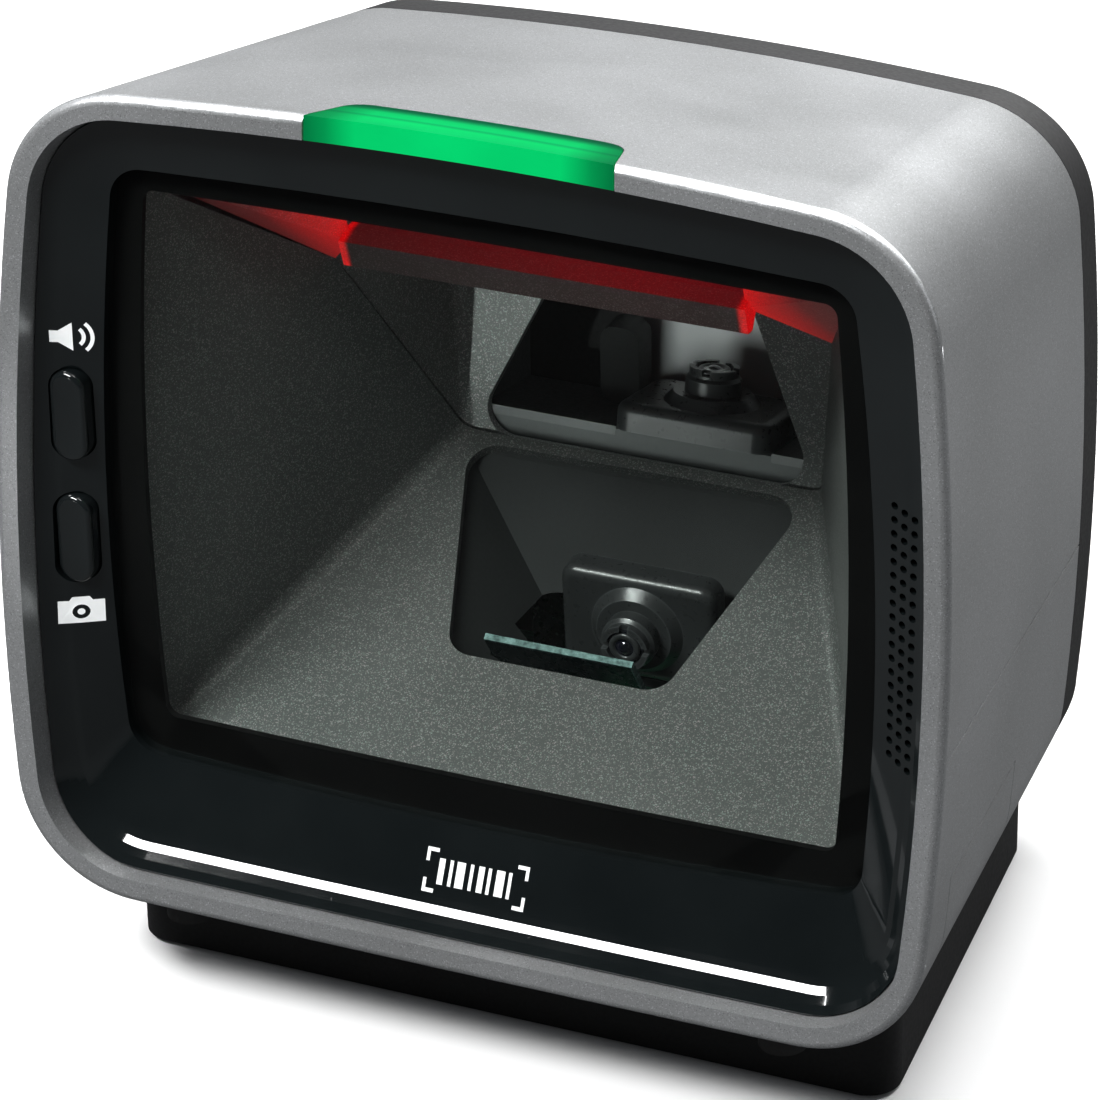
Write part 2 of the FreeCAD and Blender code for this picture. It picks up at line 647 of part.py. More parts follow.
def trapezoid_cut(near, far, wide, narrow, rotation):
    """Opening cut square to a wall, measured from the ridge along the wall."""
    face = rounded([(-wide, near), (wide, near), (narrow, far), (-narrow, far)],
                   size("opening_corner"))
    block = face.extrude(Vector(0, 0, 2 * CUT_REACH))
    block.Placement = at(0, size("ridge_y"), size("ridge_z"), rotation).multiply(at(0, 0, -CUT_REACH))
    return block


def make_tub():
    front, top = size("cavity_front"), size("cavity_top")
    fl, fr = pair(size("floor_half"), front, size("floor_z"))
    rl, rr = pair(size("ridge_half"), size("ridge_y"), size("ridge_z"))
    bl, br = pair(size("brow_half"), size("brow_y"), size("brow_z"))
    tl, tr = pair(on_side_wall(front, top), front, top)
    inner = solid_of([[fl, fr, rr, rl], [fl, rl, bl, tl], [fr, tr, br, rr],
                      [fl, tl, tr, fr], [tl, bl, br, tr], [rl, rr, br, bl]],
                     Vector(0, size("hood_y"), size("volume_z")))
    creases = edges_between(inner, fl, rl) + edges_between(inner, fr, rr)
    inner = inner.makeFillet(size("cavity_blend"), creases)
    open_faces = (faces_near(inner, lambda c: abs(c.y - front) < 0.01)
                  + faces_near(inner, lambda c: c.z > 112 and abs(c.x) < 1)
                  + faces_near(inner, lambda c: c.y > 2 and abs(c.x) < 1 and c.z > 75))
    tub = hollowed(inner, open_faces, size("cavity_wall"))
    flange = prism("window", front, front + size("flange"), -size("mask_overlap") / 2)
    tub = tub.fuse(flange.cut(inner).cut(prism("clear", -60, 0, -1.5)))
    floor_turn = Rotation(Vector(1, 0, 0), floor_angle() + 180)
    tub = tub.cut(trapezoid_cut(size("low_open_near"), size("low_open_far"),
                                size("low_open_wide"), size("low_open_narrow"), floor_turn))
    return add_feature("scan_tub", biggest(tub))


def make_chimney(tub):
    lean = math.tan(math.radians(size("chimney_lean")))
    top = size("chimney_top")
    y0, z0 = size("ridge_y") + 0.4, size("ridge_z") + 0.3
    along = (top - z0) / (size("brow_z") - size("ridge_z"))
    al, ar = pair(size("ridge_half"), y0, z0)
    bl, br = pair(size("chimney_half"), y0 + lean * (top - z0), top)
    cl, cr = pair(size("ridge_half") + along * (size("brow_half") - size("ridge_half")) + 0.6,
                  y0 + along * (size("brow_y") - size("ridge_y")), top)
    inner = solid_of([[al, ar, br, bl], [al, bl, cl], [ar, cr, br],
                      [bl, br, cr, cl], [al, cl, cr, ar]],
                     Vector(0, (bl.y + cl.y) / 2, size("brow_z")))
    posts = edges_between(inner, al, bl) + edges_between(inner, ar, br)
    inner = inner.makeFillet(size("cavity_blend") / 1.3, posts)
    open_faces = (faces_near(inner, lambda c: abs(c.z - top) < 0.01)
                  + faces_near(inner, lambda c: abs(c.x) < 1 and c.y < 12 and c.z < top - 1))
    chimney = hollowed(inner, open_faces, size("cavity_wall"))
    wall_turn = Rotation(Vector(1, 0, 0), 90 - size("chimney_lean"))
    chimney = chimney.cut(trapezoid_cut(size("high_open_near"), size("high_open_far"),
                                        size("high_open_wide"), size("high_open_narrow"), wall_turn))
    add_feature("upper_wall", biggest(chimney.cut(tub.Shape)))


# ---------------------------------------------------------------- the light hood and its lamps

def make_hood(tub):
    """Bar across the top of the cavity, with a wing from each end to the side wall's brow."""
    y, z, half = size("hood_y"), size("hood_z"), size("hood_half")
    rise, drop, front = size("hood_rise"), size("hood_drop"), size("hood_front")
    section = [(y + front, z + rise), (y - front, z + rise / 2), (y, z - drop),
               (y + front, z - drop), (y + size("hood_rear"), z + rise)]
    points = [Vector(-half, a, b) for a, b in section]
    bar = Part.Face(Part.makePolygon(points + points[:1])).extrude(Vector(2 * half, 0, 0))
    top, lip_y = size("cavity_top"), size("cavity_front") + size("wing_setback")
    for side in (-1, 1):
        end = side * (half - size("cavity_wall") / 2)
        brow = Vector(side * size("brow_half"), size("brow_y"), size("brow_z"))
        lip = Vector(side * on_side_wall(lip_y, top), lip_y, top - 1)
        corners = [Vector(end, y + 1, z), brow, lip, Vector(end, y - 5, top + size("wing_rise"))]
        bar = bar.fuse(fan(corners, size("cavity_wall"), Vector(side, 1, 1)))
    add_feature("light_hood", biggest(bar.cut(tub.Shape)))


def fan(points, thickness, towards):
    """Folded plate: triangles from the first point, each thickened to the same side."""
    triangles = zip(points[1:], points[2:])
    pieces = [plate([points[0], b, c], thickness, towards) for b, c in triangles]
    return pieces[0].multiFuse(pieces[1:]) if len(pieces) > 1 else pieces[0]


def make_lamps():
    """Lamp strip behind the window's upper margin, its red lamps turned down and to the rear."""
    origin = at(0, size("strip_y"), size("strip_z"), Rotation(Vector(1, 0, 0), 225))
    keep(board("lamp_board", "strip_width", "strip_depth", "board_thick"), origin)
    lamp = board("red_lamp", "red_lamp_width", "red_lamp_depth", "red_lamp_height")
    copies("red_lamps", lamp, lamp_row(origin, 6, size("board_thick")))


def lamp_row(origin, count, height):
    """Evenly spaced places in a row along X, at a height above a board's face."""
    first = -size("lamp_pitch") * (count - 1) / 2
    return [origin.multiply(at(first + size("lamp_pitch") * i, 0, height)) for i in range(count)]


def make_status_board():
    """Small board under the status light, its green lamps turned up."""
    low = at(0, size("status_y"), size("status_z"))
    keep(board("status_board", "status_width", "status_depth", "status_thick"), low)
    lamp = board("green_lamp", "green_lamp_side", "green_lamp_side", "green_lamp_height")
    copies("green_lamps", lamp, lamp_row(low, 4, size("status_thick")))


# ---------------------------------------------------------------- the camera modules

def camera_place(name):
    """Placement of a camera: its local +Z looks out of the module, z = 0 is the front face."""
    tilt = size(f"{name}_camera_tilt")
    angle = 90 + tilt if name == "low" else -tilt
    return at(size(f"{name}_camera_x"), size(f"{name}_camera_y"), size(f"{name}_camera_z"),
              Rotation(Vector(1, 0, 0), angle))


def module_clearance(name, gap):
    """Space of a camera's housing and the board behind it, grown by a gap and open to its front."""
    width, depth = size("module_width") / 2 + gap, size("module_depth") / 2 + gap
    face = rounded([(-width, -depth), (width, -depth), (width, depth), (-width, depth)],
                   size("module_corner") + gap)
    behind = size("module_thick") + size("sensor_gap") + size("sensor_thick") + gap
    block = face.extrude(Vector(0, 0, behind + CUT_REACH))
    block.Placement = camera_place(name).multiply(at(0, 0, -behind))
    return block


def make_camera(name, label):
    """Housing with a conical boss, stepped and notched barrel, and front lens of one camera."""
    place = camera_place(name)
    housing = new_body(f"{label}_camera_housing")
    sketch = new_sketch(housing, f"{label}_plate", "XY_Plane")
    rectangle(sketch, "module_width", "module_depth")
    block = pad(housing, sketch, "module_thick", inward=True)
    corners = round_edges(housing, block, "module_corner", upright)
    round_edges(housing, corners, "module_edge", level_at(0))
    cone = new_sketch(housing, f"{label}_boss", "XZ_Plane")
    polygon(cone, [("0", "-0.5"), ("boss_radius", "-0.5"), ("boss_radius", "0"),
                   ("boss_top", "boss_height"), ("0", "boss_height")])
    turn(housing, cone)
    bore = new_sketch(housing, f"{label}_bore", "XY_Plane", "boss_height")
    circle(bore, "0", "0", "barrel_neck + barrel_fit")
    pocket(housing, bore, "boss_height + module_thick - 1")
    keep(housing, place)
    rim, neck, high = "barrel_radius", "barrel_neck", "boss_height + barrel_height"
    ring, step, seat = "boss_height + barrel_ring", "barrel_step", f"{high} - lens_depth"
    barrel = turned(f"{label}_camera_barrel", [
        ("barrel_bore", "-barrel_tail"), (neck, "-barrel_tail"), (neck, "boss_height + barrel_fit"),
        (rim, "boss_height + barrel_fit"), (rim, ring), (f"{rim} - {step}", f"{ring} + {step}"),
        (f"{rim} - {step}", high), ("lens_radius", high), ("lens_radius", seat),
        ("barrel_bore", f"{seat} - 1.2")])
    across, width = "2 * barrel_radius + 2", "notch_width"
    for word, x_side, y_side in (("wide", across, width), ("tall", width, across)):
        notch = new_sketch(barrel, f"{label}_notch_{word}", "XY_Plane", high)
        rectangle(notch, x_side, y_side)
        pocket(barrel, notch, "notch_depth")
    keep(barrel, place)
    edge = "lens_radius - barrel_fit"
    lens = turned(f"{label}_camera_lens", [
        ("0", f"{seat} - 0.1"), (edge, f"{seat} + 0.02"), (edge, f"{high} - 0.7"),
        ("1.8", f"{high} - 0.35"), ("0", f"{high} - 0.2")])
    keep(lens, place)


def make_sensors():
    """One sensor board behind each camera housing."""
    plate_body = board("sensor_board", "module_width - 2", "module_depth - 7", "sensor_thick")
    gap = size("module_thick") + size("sensor_thick") + size("sensor_gap")
    places = [camera_place(name).multiply(at(0, 0, -gap)) for name in ("low", "high")]
    copies("sensor_boards", plate_body, places)


# ---------------------------------------------------------------- the two bays

def floor_point(x, distance, drop=0.0):
    """Point at a distance down the cavity's floor from the ridge, and a drop below the floor."""
    turn_down = math.radians(floor_angle())
    return Vector(x, size("ridge_y") - distance * math.cos(turn_down),
                  size("ridge_z") - distance * math.sin(turn_down) - drop)


def make_lower_bay(tub):
    """Dark bay under the floor's opening: leaning rear panel, two cheeks and a front wall."""
    across, bottom = Vector(1, 0, 0), size("bay_bottom")
    rear_top = Vector(0, size("bay_rear_y"), size("bay_rear_z"))
    rear = [rear_top, rear_top + across, Vector(0, size("bay_rear_low_y"), bottom)]
    under = size("cavity_wall") / math.cos(math.radians(floor_angle()))
    lid = [floor_point(0, 0, under), floor_point(1, 0, under), floor_point(0, 1, under)]
    base = [Vector(0, 0, bottom), Vector(1, 0, bottom), Vector(0, 1, bottom)]
    near_top = floor_point(0, size("low_open_far"))
    near = [near_top, near_top + across, near_top - Vector(0, 0, 1)]

    def cheek(side, foot_x, foot_z):
        drop = size("cheek_drop")
        return [floor_point(side * size("low_open_wide"), size("low_open_near"), drop),
                floor_point(side * size("low_open_narrow"), size("low_open_far"), drop),
                Vector(side * foot_x, size("cheek_foot_y"), foot_z)]

    left = cheek(-1, size("left_foot_x"), size("left_foot_z"))
    right = cheek(1, size("right_foot_x"), size("right_foot_z"))
    inner = solid_of([rear, lid, left, right, base, near],
                     Vector(0, 0, (bottom + size("bay_rear_z")) / 2 - 5))
    open_faces = [max(inner.Faces, key=lambda face: face.CenterOfMass.z),
                  min(inner.Faces, key=lambda face: face.CenterOfMass.z)]
    bay = hollowed(inner, open_faces, size("bay_wall"))
    arch = Part.makeCylinder(size("arch_radius"), FAR, Vector(size("arch_x"), 0, size("arch_z")),
                             Vector(0, 1, 0))
    slack = size("mirror_slack")
    sides = [size(f"mirror_{side}") for side in ("width", "height", "thick")]
    slit = Part.makeBox(*[side + 2 * slack for side in sides],
                        Vector(-sides[0] / 2 - slack, -sides[1] / 2 - slack, -slack))
    slit.Placement = mirror_place().multiply(slit.Placement)
    bay = bay.cut(arch).cut(module_clearance("low", 0.4)).cut(slit)
    add_feature("lower_bay", biggest(bay.cut(tub.Shape)))


def mirror_place():
    return at(size("mirror_x"), size("mirror_y"), size("mirror_z"),
              Rotation(Vector(1, 0, 0), -size("mirror_lean")))


def make_mirror():
    """Fold mirror in front of the lower camera, its polished top edge just under the floor."""
    keep(board("fold_mirror", "mirror_width", "mirror_height", "mirror_thick"), mirror_place())


def shelf_height(y):
    """Upper face of the upper bay's shelf, square to the upper camera."""
    slope = math.tan(math.radians(size("high_camera_tilt")))
    back = size("module_thick") / math.cos(math.radians(size("high_camera_tilt")))
    return size("high_camera_z") - back - slope * (y - size("high_camera_y"))


def make_upper_bay():
    """Dark shelf behind the upper wall's opening, with a front apron and a cheek at each side."""
    near, far, half = size("shelf_near"), size("shelf_far"), size("shelf_half")
    thick, top = size("shelf_thick"), size("shelf_cheek_top")
    corners = ((-half, near), (half, near), (half, far), (-half, far))
    shelf = plate([Vector(x, y, shelf_height(y)) for x, y in corners], thick, Vector(0, 0, -1))
    for side in (-1, 1):
        cheek = plate([Vector(side * half, near, shelf_height(near) - thick),
                       Vector(side * half, far, shelf_height(far) - thick),
                       Vector(side * half, far, top),
                       Vector(side * half, near + size("shelf_cheek_lean"), top)],
                      thick, Vector(side, 0, 0))
        shelf = shelf.fuse(cheek)
    shelf = shelf.cut(module_clearance("high", 0.15))
    apron = Part.makeBox(2 * half, size("apron_thick"), size("apron_high") - size("apron_low"),
                         Vector(-half, near, size("apron_low")))
    add_feature("upper_bay", biggest(shelf.fuse(apron)))


def make_backing():
    """Pale panel behind the upper camera and the dark rounded block beside it."""
    panel = board("bay_backing", "panel_width", "panel_height", "panel_thick", "panel_corner")
    stand = size("stand_gap") + size("panel_height") / 2
    keep(panel, at(size("panel_x"), size("panel_y"),
                   shelf_height(size("panel_y") - size("panel_thick")) + stand, FACING_FRONT))
    block = board("bay_block", "side_block_width", "side_block_height", "side_block_depth",
                  "side_block_corner")
    stand = size("stand_gap") + size("side_block_height") / 2
    keep(block, at(size("side_block_x"), size("side_block_y"),
                   shelf_height(size("side_block_y") - size("side_block_depth")) + stand,
                   FACING_FRONT))


# ---------------------------------------------------------------- controls and sound

def make_button(name):
    """Push button: a stadium stem, end tabs behind the bezel and the switch plunger behind it."""
    x, z = size(f"{name}_x"), size(f"{name}_z")
    body = new_body(f"button_{name}")
    stem = new_sketch(body, f"{name}_stem", "XY_Plane")
    slot(stem, "button_width / 2", "(button_height - button_width) / 2")
    pad(body, stem, "collar_front - button_face")
    tab = new_sketch(body, f"{name}_tabs", "XY_Plane")
    rectangle(tab, "button_width", "button_height + 2 * collar_reach")
    whole = pad(body, tab, "collar_thick", inward=True)
    top = size("collar_front") - size("button_face")
    round_edges(body, whole, "button_edge", level_at(top))
    keep(body, at(x, size("collar_front"), z, FACING_FRONT))
    plunger = new_body(f"plunger_{name}")
    disc = new_sketch(plunger, f"{name}_plunger_disc", "XY_Plane")
    circle(disc, "0", "0", "plunger_radius")
    pad(plunger, disc, "plunger_length", inward=True)
    keep(plunger, at(x, size("collar_front") + size("collar_thick"), z, FACING_FRONT))


def slot(sketch, half, straight):
    """Upright stadium about the sketch's origin: two sides joined by two half circles."""
    r, s = value_of(half), value_of(straight)
    up = Vector(0, 0, 1)
    right = sketch.addGeometry(Part.LineSegment(Vector(r, -s, 0), Vector(r, s, 0)), False)
    left = sketch.addGeometry(Part.LineSegment(Vector(-r, s, 0), Vector(-r, -s, 0)), False)
    top = sketch.addGeometry(
        Part.ArcOfCircle(Part.Circle(Vector(0, s, 0), up, r), 0, math.pi), False)
    low = sketch.addGeometry(
        Part.ArcOfCircle(Part.Circle(Vector(0, -s, 0), up, r), math.pi, 2 * math.pi), False)
    joins = ((right, 2, top, 1), (top, 2, left, 1), (left, 2, low, 1), (low, 2, right, 1))
    for a, a_end, b, b_end in joins:
        sketch.addConstraint(Sketcher.Constraint("Tangent", a, a_end, b, b_end))
    sketch.addConstraint(Sketcher.Constraint("Vertical", right))
    locate(sketch, top, 3, "0", straight)
    locate(sketch, low, 3, "0", f"-({straight})")
    radius = sketch.addConstraint(Sketcher.Constraint("Radius", top, r))
    bound(sketch, f"Constraints[{radius}]", half)


def make_switches():
    """Board on the left of the window, with a bored tactile switch behind each button."""
    front = (size("collar_front") + size("collar_thick") + size("plunger_length") - 0.5
             + size("switch_height"))
    keep(board("button_board", "key_board_width", "key_board_height", "board_thick"),
         at(size("key_board_x"), front + size("board_thick"), size("key_board_z"), FACING_FRONT))
    switch = new_body("switch")
    block = new_sketch(switch, "switch_block", "XY_Plane")
    rectangle(block, "switch_size", "switch_size")
    pad(switch, block, "switch_height")
    bore = new_sketch(switch, "switch_bore_circle", "XY_Plane", "switch_height")
    circle(bore, "0", "0", "plunger_radius + plunger_fit")
    pocket(switch, bore, "switch_bore")
    places = [at(size(f"{name}_x"), front, size(f"{name}_z"), FACING_FRONT) for name in BUTTONS]
    copies("switches", switch, places)


def make_speaker():
    """Slim speaker behind the sound holes: a box with shallow round recesses in its front."""
    body = new_body("speaker")
    block = new_sketch(body, "speaker_block", "XY_Plane")
    rectangle(block, "speaker_width", "speaker_height")
    solid = pad(body, block, "speaker_depth")
    round_edges(body, solid, "speaker_corner", upright)
    recess = new_sketch(body, "speaker_recess", "XY_Plane", "speaker_depth")
    for step in (-1, 0, 1):
        circle(recess, "0", f"{step} * speaker_pitch", "speaker_width / 2 - speaker_rim")
    pocket(body, recess, "speaker_recess")
    keep(body, at(size("speaker_x"), size("bezel_back") + 0.2 + size("speaker_depth"),
                  size("speaker_z"), FACING_FRONT))


# ---------------------------------------------------------------- electronics

def board_corners():
    """Positions of the main board's four mounting points."""
    reach_x = size("board_width") / 2 - size("board_margin")
    reach_y = size("board_depth") / 2 - size("board_margin")
    return [(sx * reach_x, size("board_y") + sy * reach_y) for sx in (-1, 1) for sy in (-1, 1)]


def make_main_board():
    """Main board on the floor of the case, with its chips."""
    middle = at(0, size("board_y"), size("board_z"))
    holes = [(f"{sx} * (board_width / 2 - board_margin)",
              f"{sy} * (board_depth / 2 - board_margin)", "board_hole")
             for sx in (-1, 1) for sy in (-1, 1)]
    keep(board("main_board", "board_width", "board_depth", "board_thick", "board_corner", holes),
         middle)
    chip = board("chip", "chip_side", "chip_side", "chip_height")
    copies("board_chips", chip, [middle.multiply(at(x, y, size("board_thick"))) for x, y in CHIPS])


def make_board_mounts():
    """Bored posts under the main board, trimmed to the case's inside, and their screws."""
    radius, high = "board_post_radius", "board_post_height"
    post = turned("post", [("0", "0"), (radius, "0"), (radius, high), ("0", high)])
    doc.recompute()
    inner = envelope(size("wall"))
    low, deep = size("board_z") - size(high), size("board_post_bore")
    solids = []
    for x, y in board_corners():
        solid = post.Shape.copy()
        solid.Placement = at(x, y, low)
        bore = Part.makeCylinder(size("screw_radius") + size("screw_fit"), deep,
                                 Vector(x, y, size("board_z") - deep))
        solids.append(biggest(solid.common(inner).cut(bore)))
    add_feature("board_posts", Part.makeCompound(solids))
    top = size("board_z") + size("board_thick")
    copies("board_screws", make_screw("board_screw", "board_screw_length"),
           [at(x, y, top) for x, y in board_corners()])


def make_sockets():
    """Data and power sockets: boxes with a rectangular mouth towards the rear, and a tongue."""
    start, end = size("socket_front"), size("cover_y") - size("socket_sink")
    low, high = size("board_z") + size("board_thick"), size("socket_height")
    wall, floor, deep = size("socket_wall"), size("socket_floor"), size("socket_depth")
    side, lift = size("tongue_side"), size("tongue_lift")
    solids = []
    for x, width in SOCKETS:
        left = x - width / 2
        shell = Part.makeBox(width, end - start, high, Vector(left, start, low))
        mouth = Part.makeBox(width - 2 * wall, deep, high - 2 * floor,
                             Vector(left + wall, end - deep, low + floor))
        tongue = Part.makeBox(width - 2 * side, size("tongue_depth"), size("tongue_thick"),
                              Vector(left + side, end - deep, low + lift))
        solids.append(shell.cut(mouth).fuse(tongue))
    add_feature("sockets", Part.makeCompound(solids))


def make_screw(label, length):
    """Cap screw about Z: underside of the head at z = 0, socket in the head."""
    head, up = "screw_head", "screw_head_height"
    return turned(label, [
        ("0", f"-({length})"), ("screw_radius", f"-({length})"), ("screw_radius", "0"), (head, "0"),
        (head, f"{up} - 0.3"), (f"{head} - 0.3", up), ("screw_socket", up),
        ("screw_socket", f"{up} - screw_socket_depth"), ("0", f"{up} - screw_socket_depth")])


def make_case_screws():
    copies("rear_screws", make_screw("rear_screw", "screw_length"), rear_screw_places())
    copies("neck_screws", make_screw("neck_screw", "screw_length - 2"), neck_screw_places())


# ---------------------------------------------------------------- the base

def base_plan(inset, low, high):
    """Block with the base's trapezoid plan, inset all round."""
    front, rear, depth = size("base_front_half"), size("base_rear_half"), size("base_half_depth")
    face = rounded([(-front, -depth), (front, -depth), (rear, depth), (-rear, depth)],
                   size("base_corner"))
    if inset:
        face = Part.Face(face.makeOffset2D(-inset).OuterWire)
    block = face.extrude(Vector(0, 0, high - low))
    block.translate(Vector(0, 0, low))
    return block


def make_base():
    gap, wall, lift, high = size("base_gap"), size("base_wall"), size("base_lift"), size("base_top")
    shell = base_plan(0, lift, high).cut(envelope(-gap))
    inside = base_plan(wall, lift - 1, high).cut(envelope(-gap - wall))
    shell = shell.cut(inside).cut(screw_bores(neck_screw_places()))
    add_feature("base", biggest(shell))
    plate_low = lift
    plate_top = plate_low + size("base_plate")
    closing = base_plan(wall + 0.2, plate_low, plate_top)
    add_feature("base_plate", closing.cut(base_plan(size("pad_inset"), 0, size("pad_thick"))))
    add_feature("foot_pad", base_plan(size("pad_inset") + 0.1, 0, size("pad_thick")))
    ballast = board("ballast", "ballast_width", "ballast_depth", "ballast_height", "4")
    keep(ballast, at(0, 0, plate_top))
    stop = Part.makeCylinder(size("bumper_radius"), 10)
    stops = []
    for side in (-1, 1):
        solid = stop.copy()
        solid.translate(Vector(side * size("bumper_x"), size("bumper_y"), size("bumper_low")))
        stops.append(biggest(solid.cut(envelope(0))))
    add_feature("front_bumpers", Part.makeCompound(stops))


# ---------------------------------------------------------------- build, check and write

make_housing()
make_rear_cover()
make_bezel()
make_window()
make_light()
tub = make_tub()
make_chimney(tub)
make_hood(tub)
make_lamps()
make_status_board()
make_camera("low", "lower")
make_camera("high", "upper")
make_sensors()
make_lower_bay(tub)
make_mirror()
make_upper_bay()
make_backing()
for button in BUTTONS:
    make_button(button)
make_switches()
make_speaker()
make_main_board()
make_board_mounts()
make_sockets()
make_case_screws()
make_base()
doc.recompute()

for item in doc.Objects:
    if {"Invalid", "Error"} & set(item.State):
        raise RuntimeError(f"{item.Label} did not compute: {item.State}")
os.makedirs("parts", exist_ok=True)
for node in nodes:
    shape = node.Shape
    if shape.isNull() or not shape.isValid() or not shape.Solids:
        raise RuntimeError(f"{node.Label} has no valid solid")
    shape.exportStep(f"parts/{node.Label}.step")
print(len(nodes), "pieces written")
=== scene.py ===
"""Looks of the upright presentation barcode scanner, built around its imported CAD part.

Metres, in the part's own frame: +Z up, -Y the front, X the width, origin under the base.
"""
import math

import bpy
from mathutils import Matrix, Vector


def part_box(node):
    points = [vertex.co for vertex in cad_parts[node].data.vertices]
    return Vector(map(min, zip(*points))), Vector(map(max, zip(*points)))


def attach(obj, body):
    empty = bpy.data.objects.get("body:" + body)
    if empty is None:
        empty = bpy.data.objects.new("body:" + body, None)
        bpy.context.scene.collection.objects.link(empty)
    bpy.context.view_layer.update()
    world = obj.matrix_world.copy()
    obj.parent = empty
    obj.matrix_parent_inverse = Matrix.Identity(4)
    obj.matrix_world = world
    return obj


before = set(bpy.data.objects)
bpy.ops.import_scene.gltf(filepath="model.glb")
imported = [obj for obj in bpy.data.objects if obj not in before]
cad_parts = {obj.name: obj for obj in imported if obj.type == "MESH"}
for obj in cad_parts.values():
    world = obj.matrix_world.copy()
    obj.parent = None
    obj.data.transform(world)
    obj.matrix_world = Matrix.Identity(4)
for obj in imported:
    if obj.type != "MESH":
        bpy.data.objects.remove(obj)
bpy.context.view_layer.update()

MM = 0.001
BODY = "body"


# ---------------------------------------------------------------- node material helpers

class Graph:
    """A material's node tree with short calls for the nodes used here."""

    def __init__(self, name):
        self.material = bpy.data.materials.new(name)
        self.material.use_nodes = True
        self.tree = self.material.node_tree
        self.tree.nodes.clear()
        self.out = self.tree.nodes.new("ShaderNodeOutputMaterial")

    def node(self, kind, inputs=None, **settings):
        made = self.tree.nodes.new("ShaderNode" + kind)
        for key, value in settings.items():
            setattr(made, key, value)
        for key, value in (inputs or {}).items():
            self.put(made.inputs[key], value)
        return made

    def put(self, socket, value):
        """Link a node's first output or a socket, or set a plain value."""
        if isinstance(value, bpy.types.Node):
            value = value.outputs[0]
        if isinstance(value, bpy.types.NodeSocket):
            self.tree.links.new(value, socket)
        elif isinstance(value, tuple) and len(value) == 3 and socket.type == "RGBA":
            socket.default_value = (*value, 1.0)
        else:
            socket.default_value = value

    def place(self):
        """Position on the object, in metres."""
        return self.node("TexCoord").outputs["Object"]

    def noise(self, scale, detail=2.0, rough=0.5):
        """Cloudy noise; the scale counts features in a metre."""
        return self.node("TexNoise", {"Vector": self.place(), "Scale": scale,
                                      "Detail": detail, "Roughness": rough})

    def cells(self, scale, output="Color"):
        """Cell pattern, with a random colour or a distance from the middle of each cell."""
        return self.node("TexVoronoi", {"Vector": self.place(), "Scale": scale}).outputs[output]

    def ramp(self, factor, *stops):
        """Colour ramp from (position, colour) pairs."""
        made = self.node("ValToRGB", {"Fac": factor})
        elements = made.color_ramp.elements
        while len(elements) < len(stops):
            elements.new(0.5)
        for element, (position, colour) in zip(elements, stops):
            element.position = position
            element.color = (*colour, 1.0)
        return made

    def span(self, value, low, high, to_low=0.0, to_high=1.0):
        """Map a value from one range to another, clamped."""
        made = self.node("MapRange", {"Value": value, "From Min": low, "From Max": high,
                                      "To Min": to_low, "To Max": to_high})
        return made.outputs[0]

    def sum(self, a, b):
        return self.node("Math", {0: a, 1: b}, operation="ADD")

    def times(self, a, b):
        return self.node("Math", {0: a, 1: b}, operation="MULTIPLY")

    def mix(self, factor, a, b, blend="MIX"):
        """Blend of two colours: the node's own colour sockets are its inputs 6 and 7."""
        made = self.node("Mix", data_type="RGBA", blend_type=blend)
        self.put(made.inputs[0], factor)
        self.put(made.inputs[6], a)
        self.put(made.inputs[7], b)
        return made.outputs[2]

    def bump(self, height, strength, distance):
        return self.node("Bump", {"Height": height, "Strength": strength, "Distance": distance})

    def edge_mask(self, radius):
        """Near 1 on edges: how far a rounded normal departs from the true one."""
        soft = self.node("Bevel", {"Radius": radius}, samples=4)
        true = self.node("NewGeometry").outputs["Normal"]
        dot = self.node("VectorMath", {0: soft, 1: true}, operation="DOT_PRODUCT")
        full_edge = 0.86         # normals with this dot product or less count as a full edge
        return self.span(dot.outputs["Value"], 1.0, full_edge)

    def shade(self, **inputs):
        """Principled surface; keyword words stand for its input names."""
        names = {key.replace("_", " "): value for key, value in inputs.items()}
        made = self.node("BsdfPrincipled", names)
        self.tree.links.new(made.outputs[0], self.out.inputs[0])
        return self.material


def scaled(colour, factor):
    """A colour made lighter or darker."""
    return tuple(factor * part for part in colour)


def two_noises(g, fine, coarse):
    """Two noises that every plastic uses: fine grain and slow variation."""
    return g.noise(fine, 3.0), g.noise(coarse, 2.0)


# ---------------------------------------------------------------- materials

def silver_paint():
    """Silver metallic paint: flakes catch the light singly, over slow clouding."""
    g = Graph("silver_paint")
    flake = g.node("SeparateColor", {0: g.cells(scale=7200.0)})
    cloud = g.noise(scale=26.0, detail=3.0)
    tone = g.ramp(cloud, (0.3, (0.41, 0.42, 0.425)), (0.7, (0.47, 0.48, 0.49)))
    bright = g.times(g.span(flake.outputs[0], 0.86, 1.0), 0.7)
    speck = g.mix(bright, tone, (0.80, 0.82, 0.84))
    dark = g.times(g.span(flake.outputs[1], 0.84, 1.0), 0.5)
    speck = g.mix(dark, speck, (0.10, 0.10, 0.105))
    grain = g.bump(g.noise(scale=2600.0, detail=2.0), strength=0.25, distance=0.03 * MM)
    return g.shade(Base_Color=speck, Metallic=0.8, Roughness=g.span(cloud, 0.3, 0.7, 0.34, 0.40),
                   Normal=grain, Coat_Weight=0.10, Coat_Roughness=0.25)


BAR_HALF = 30.0 * MM             # half the length of the hood's bar
WING_REACH = 21.0 * MM           # the painted red light beside the bar fades out over this width
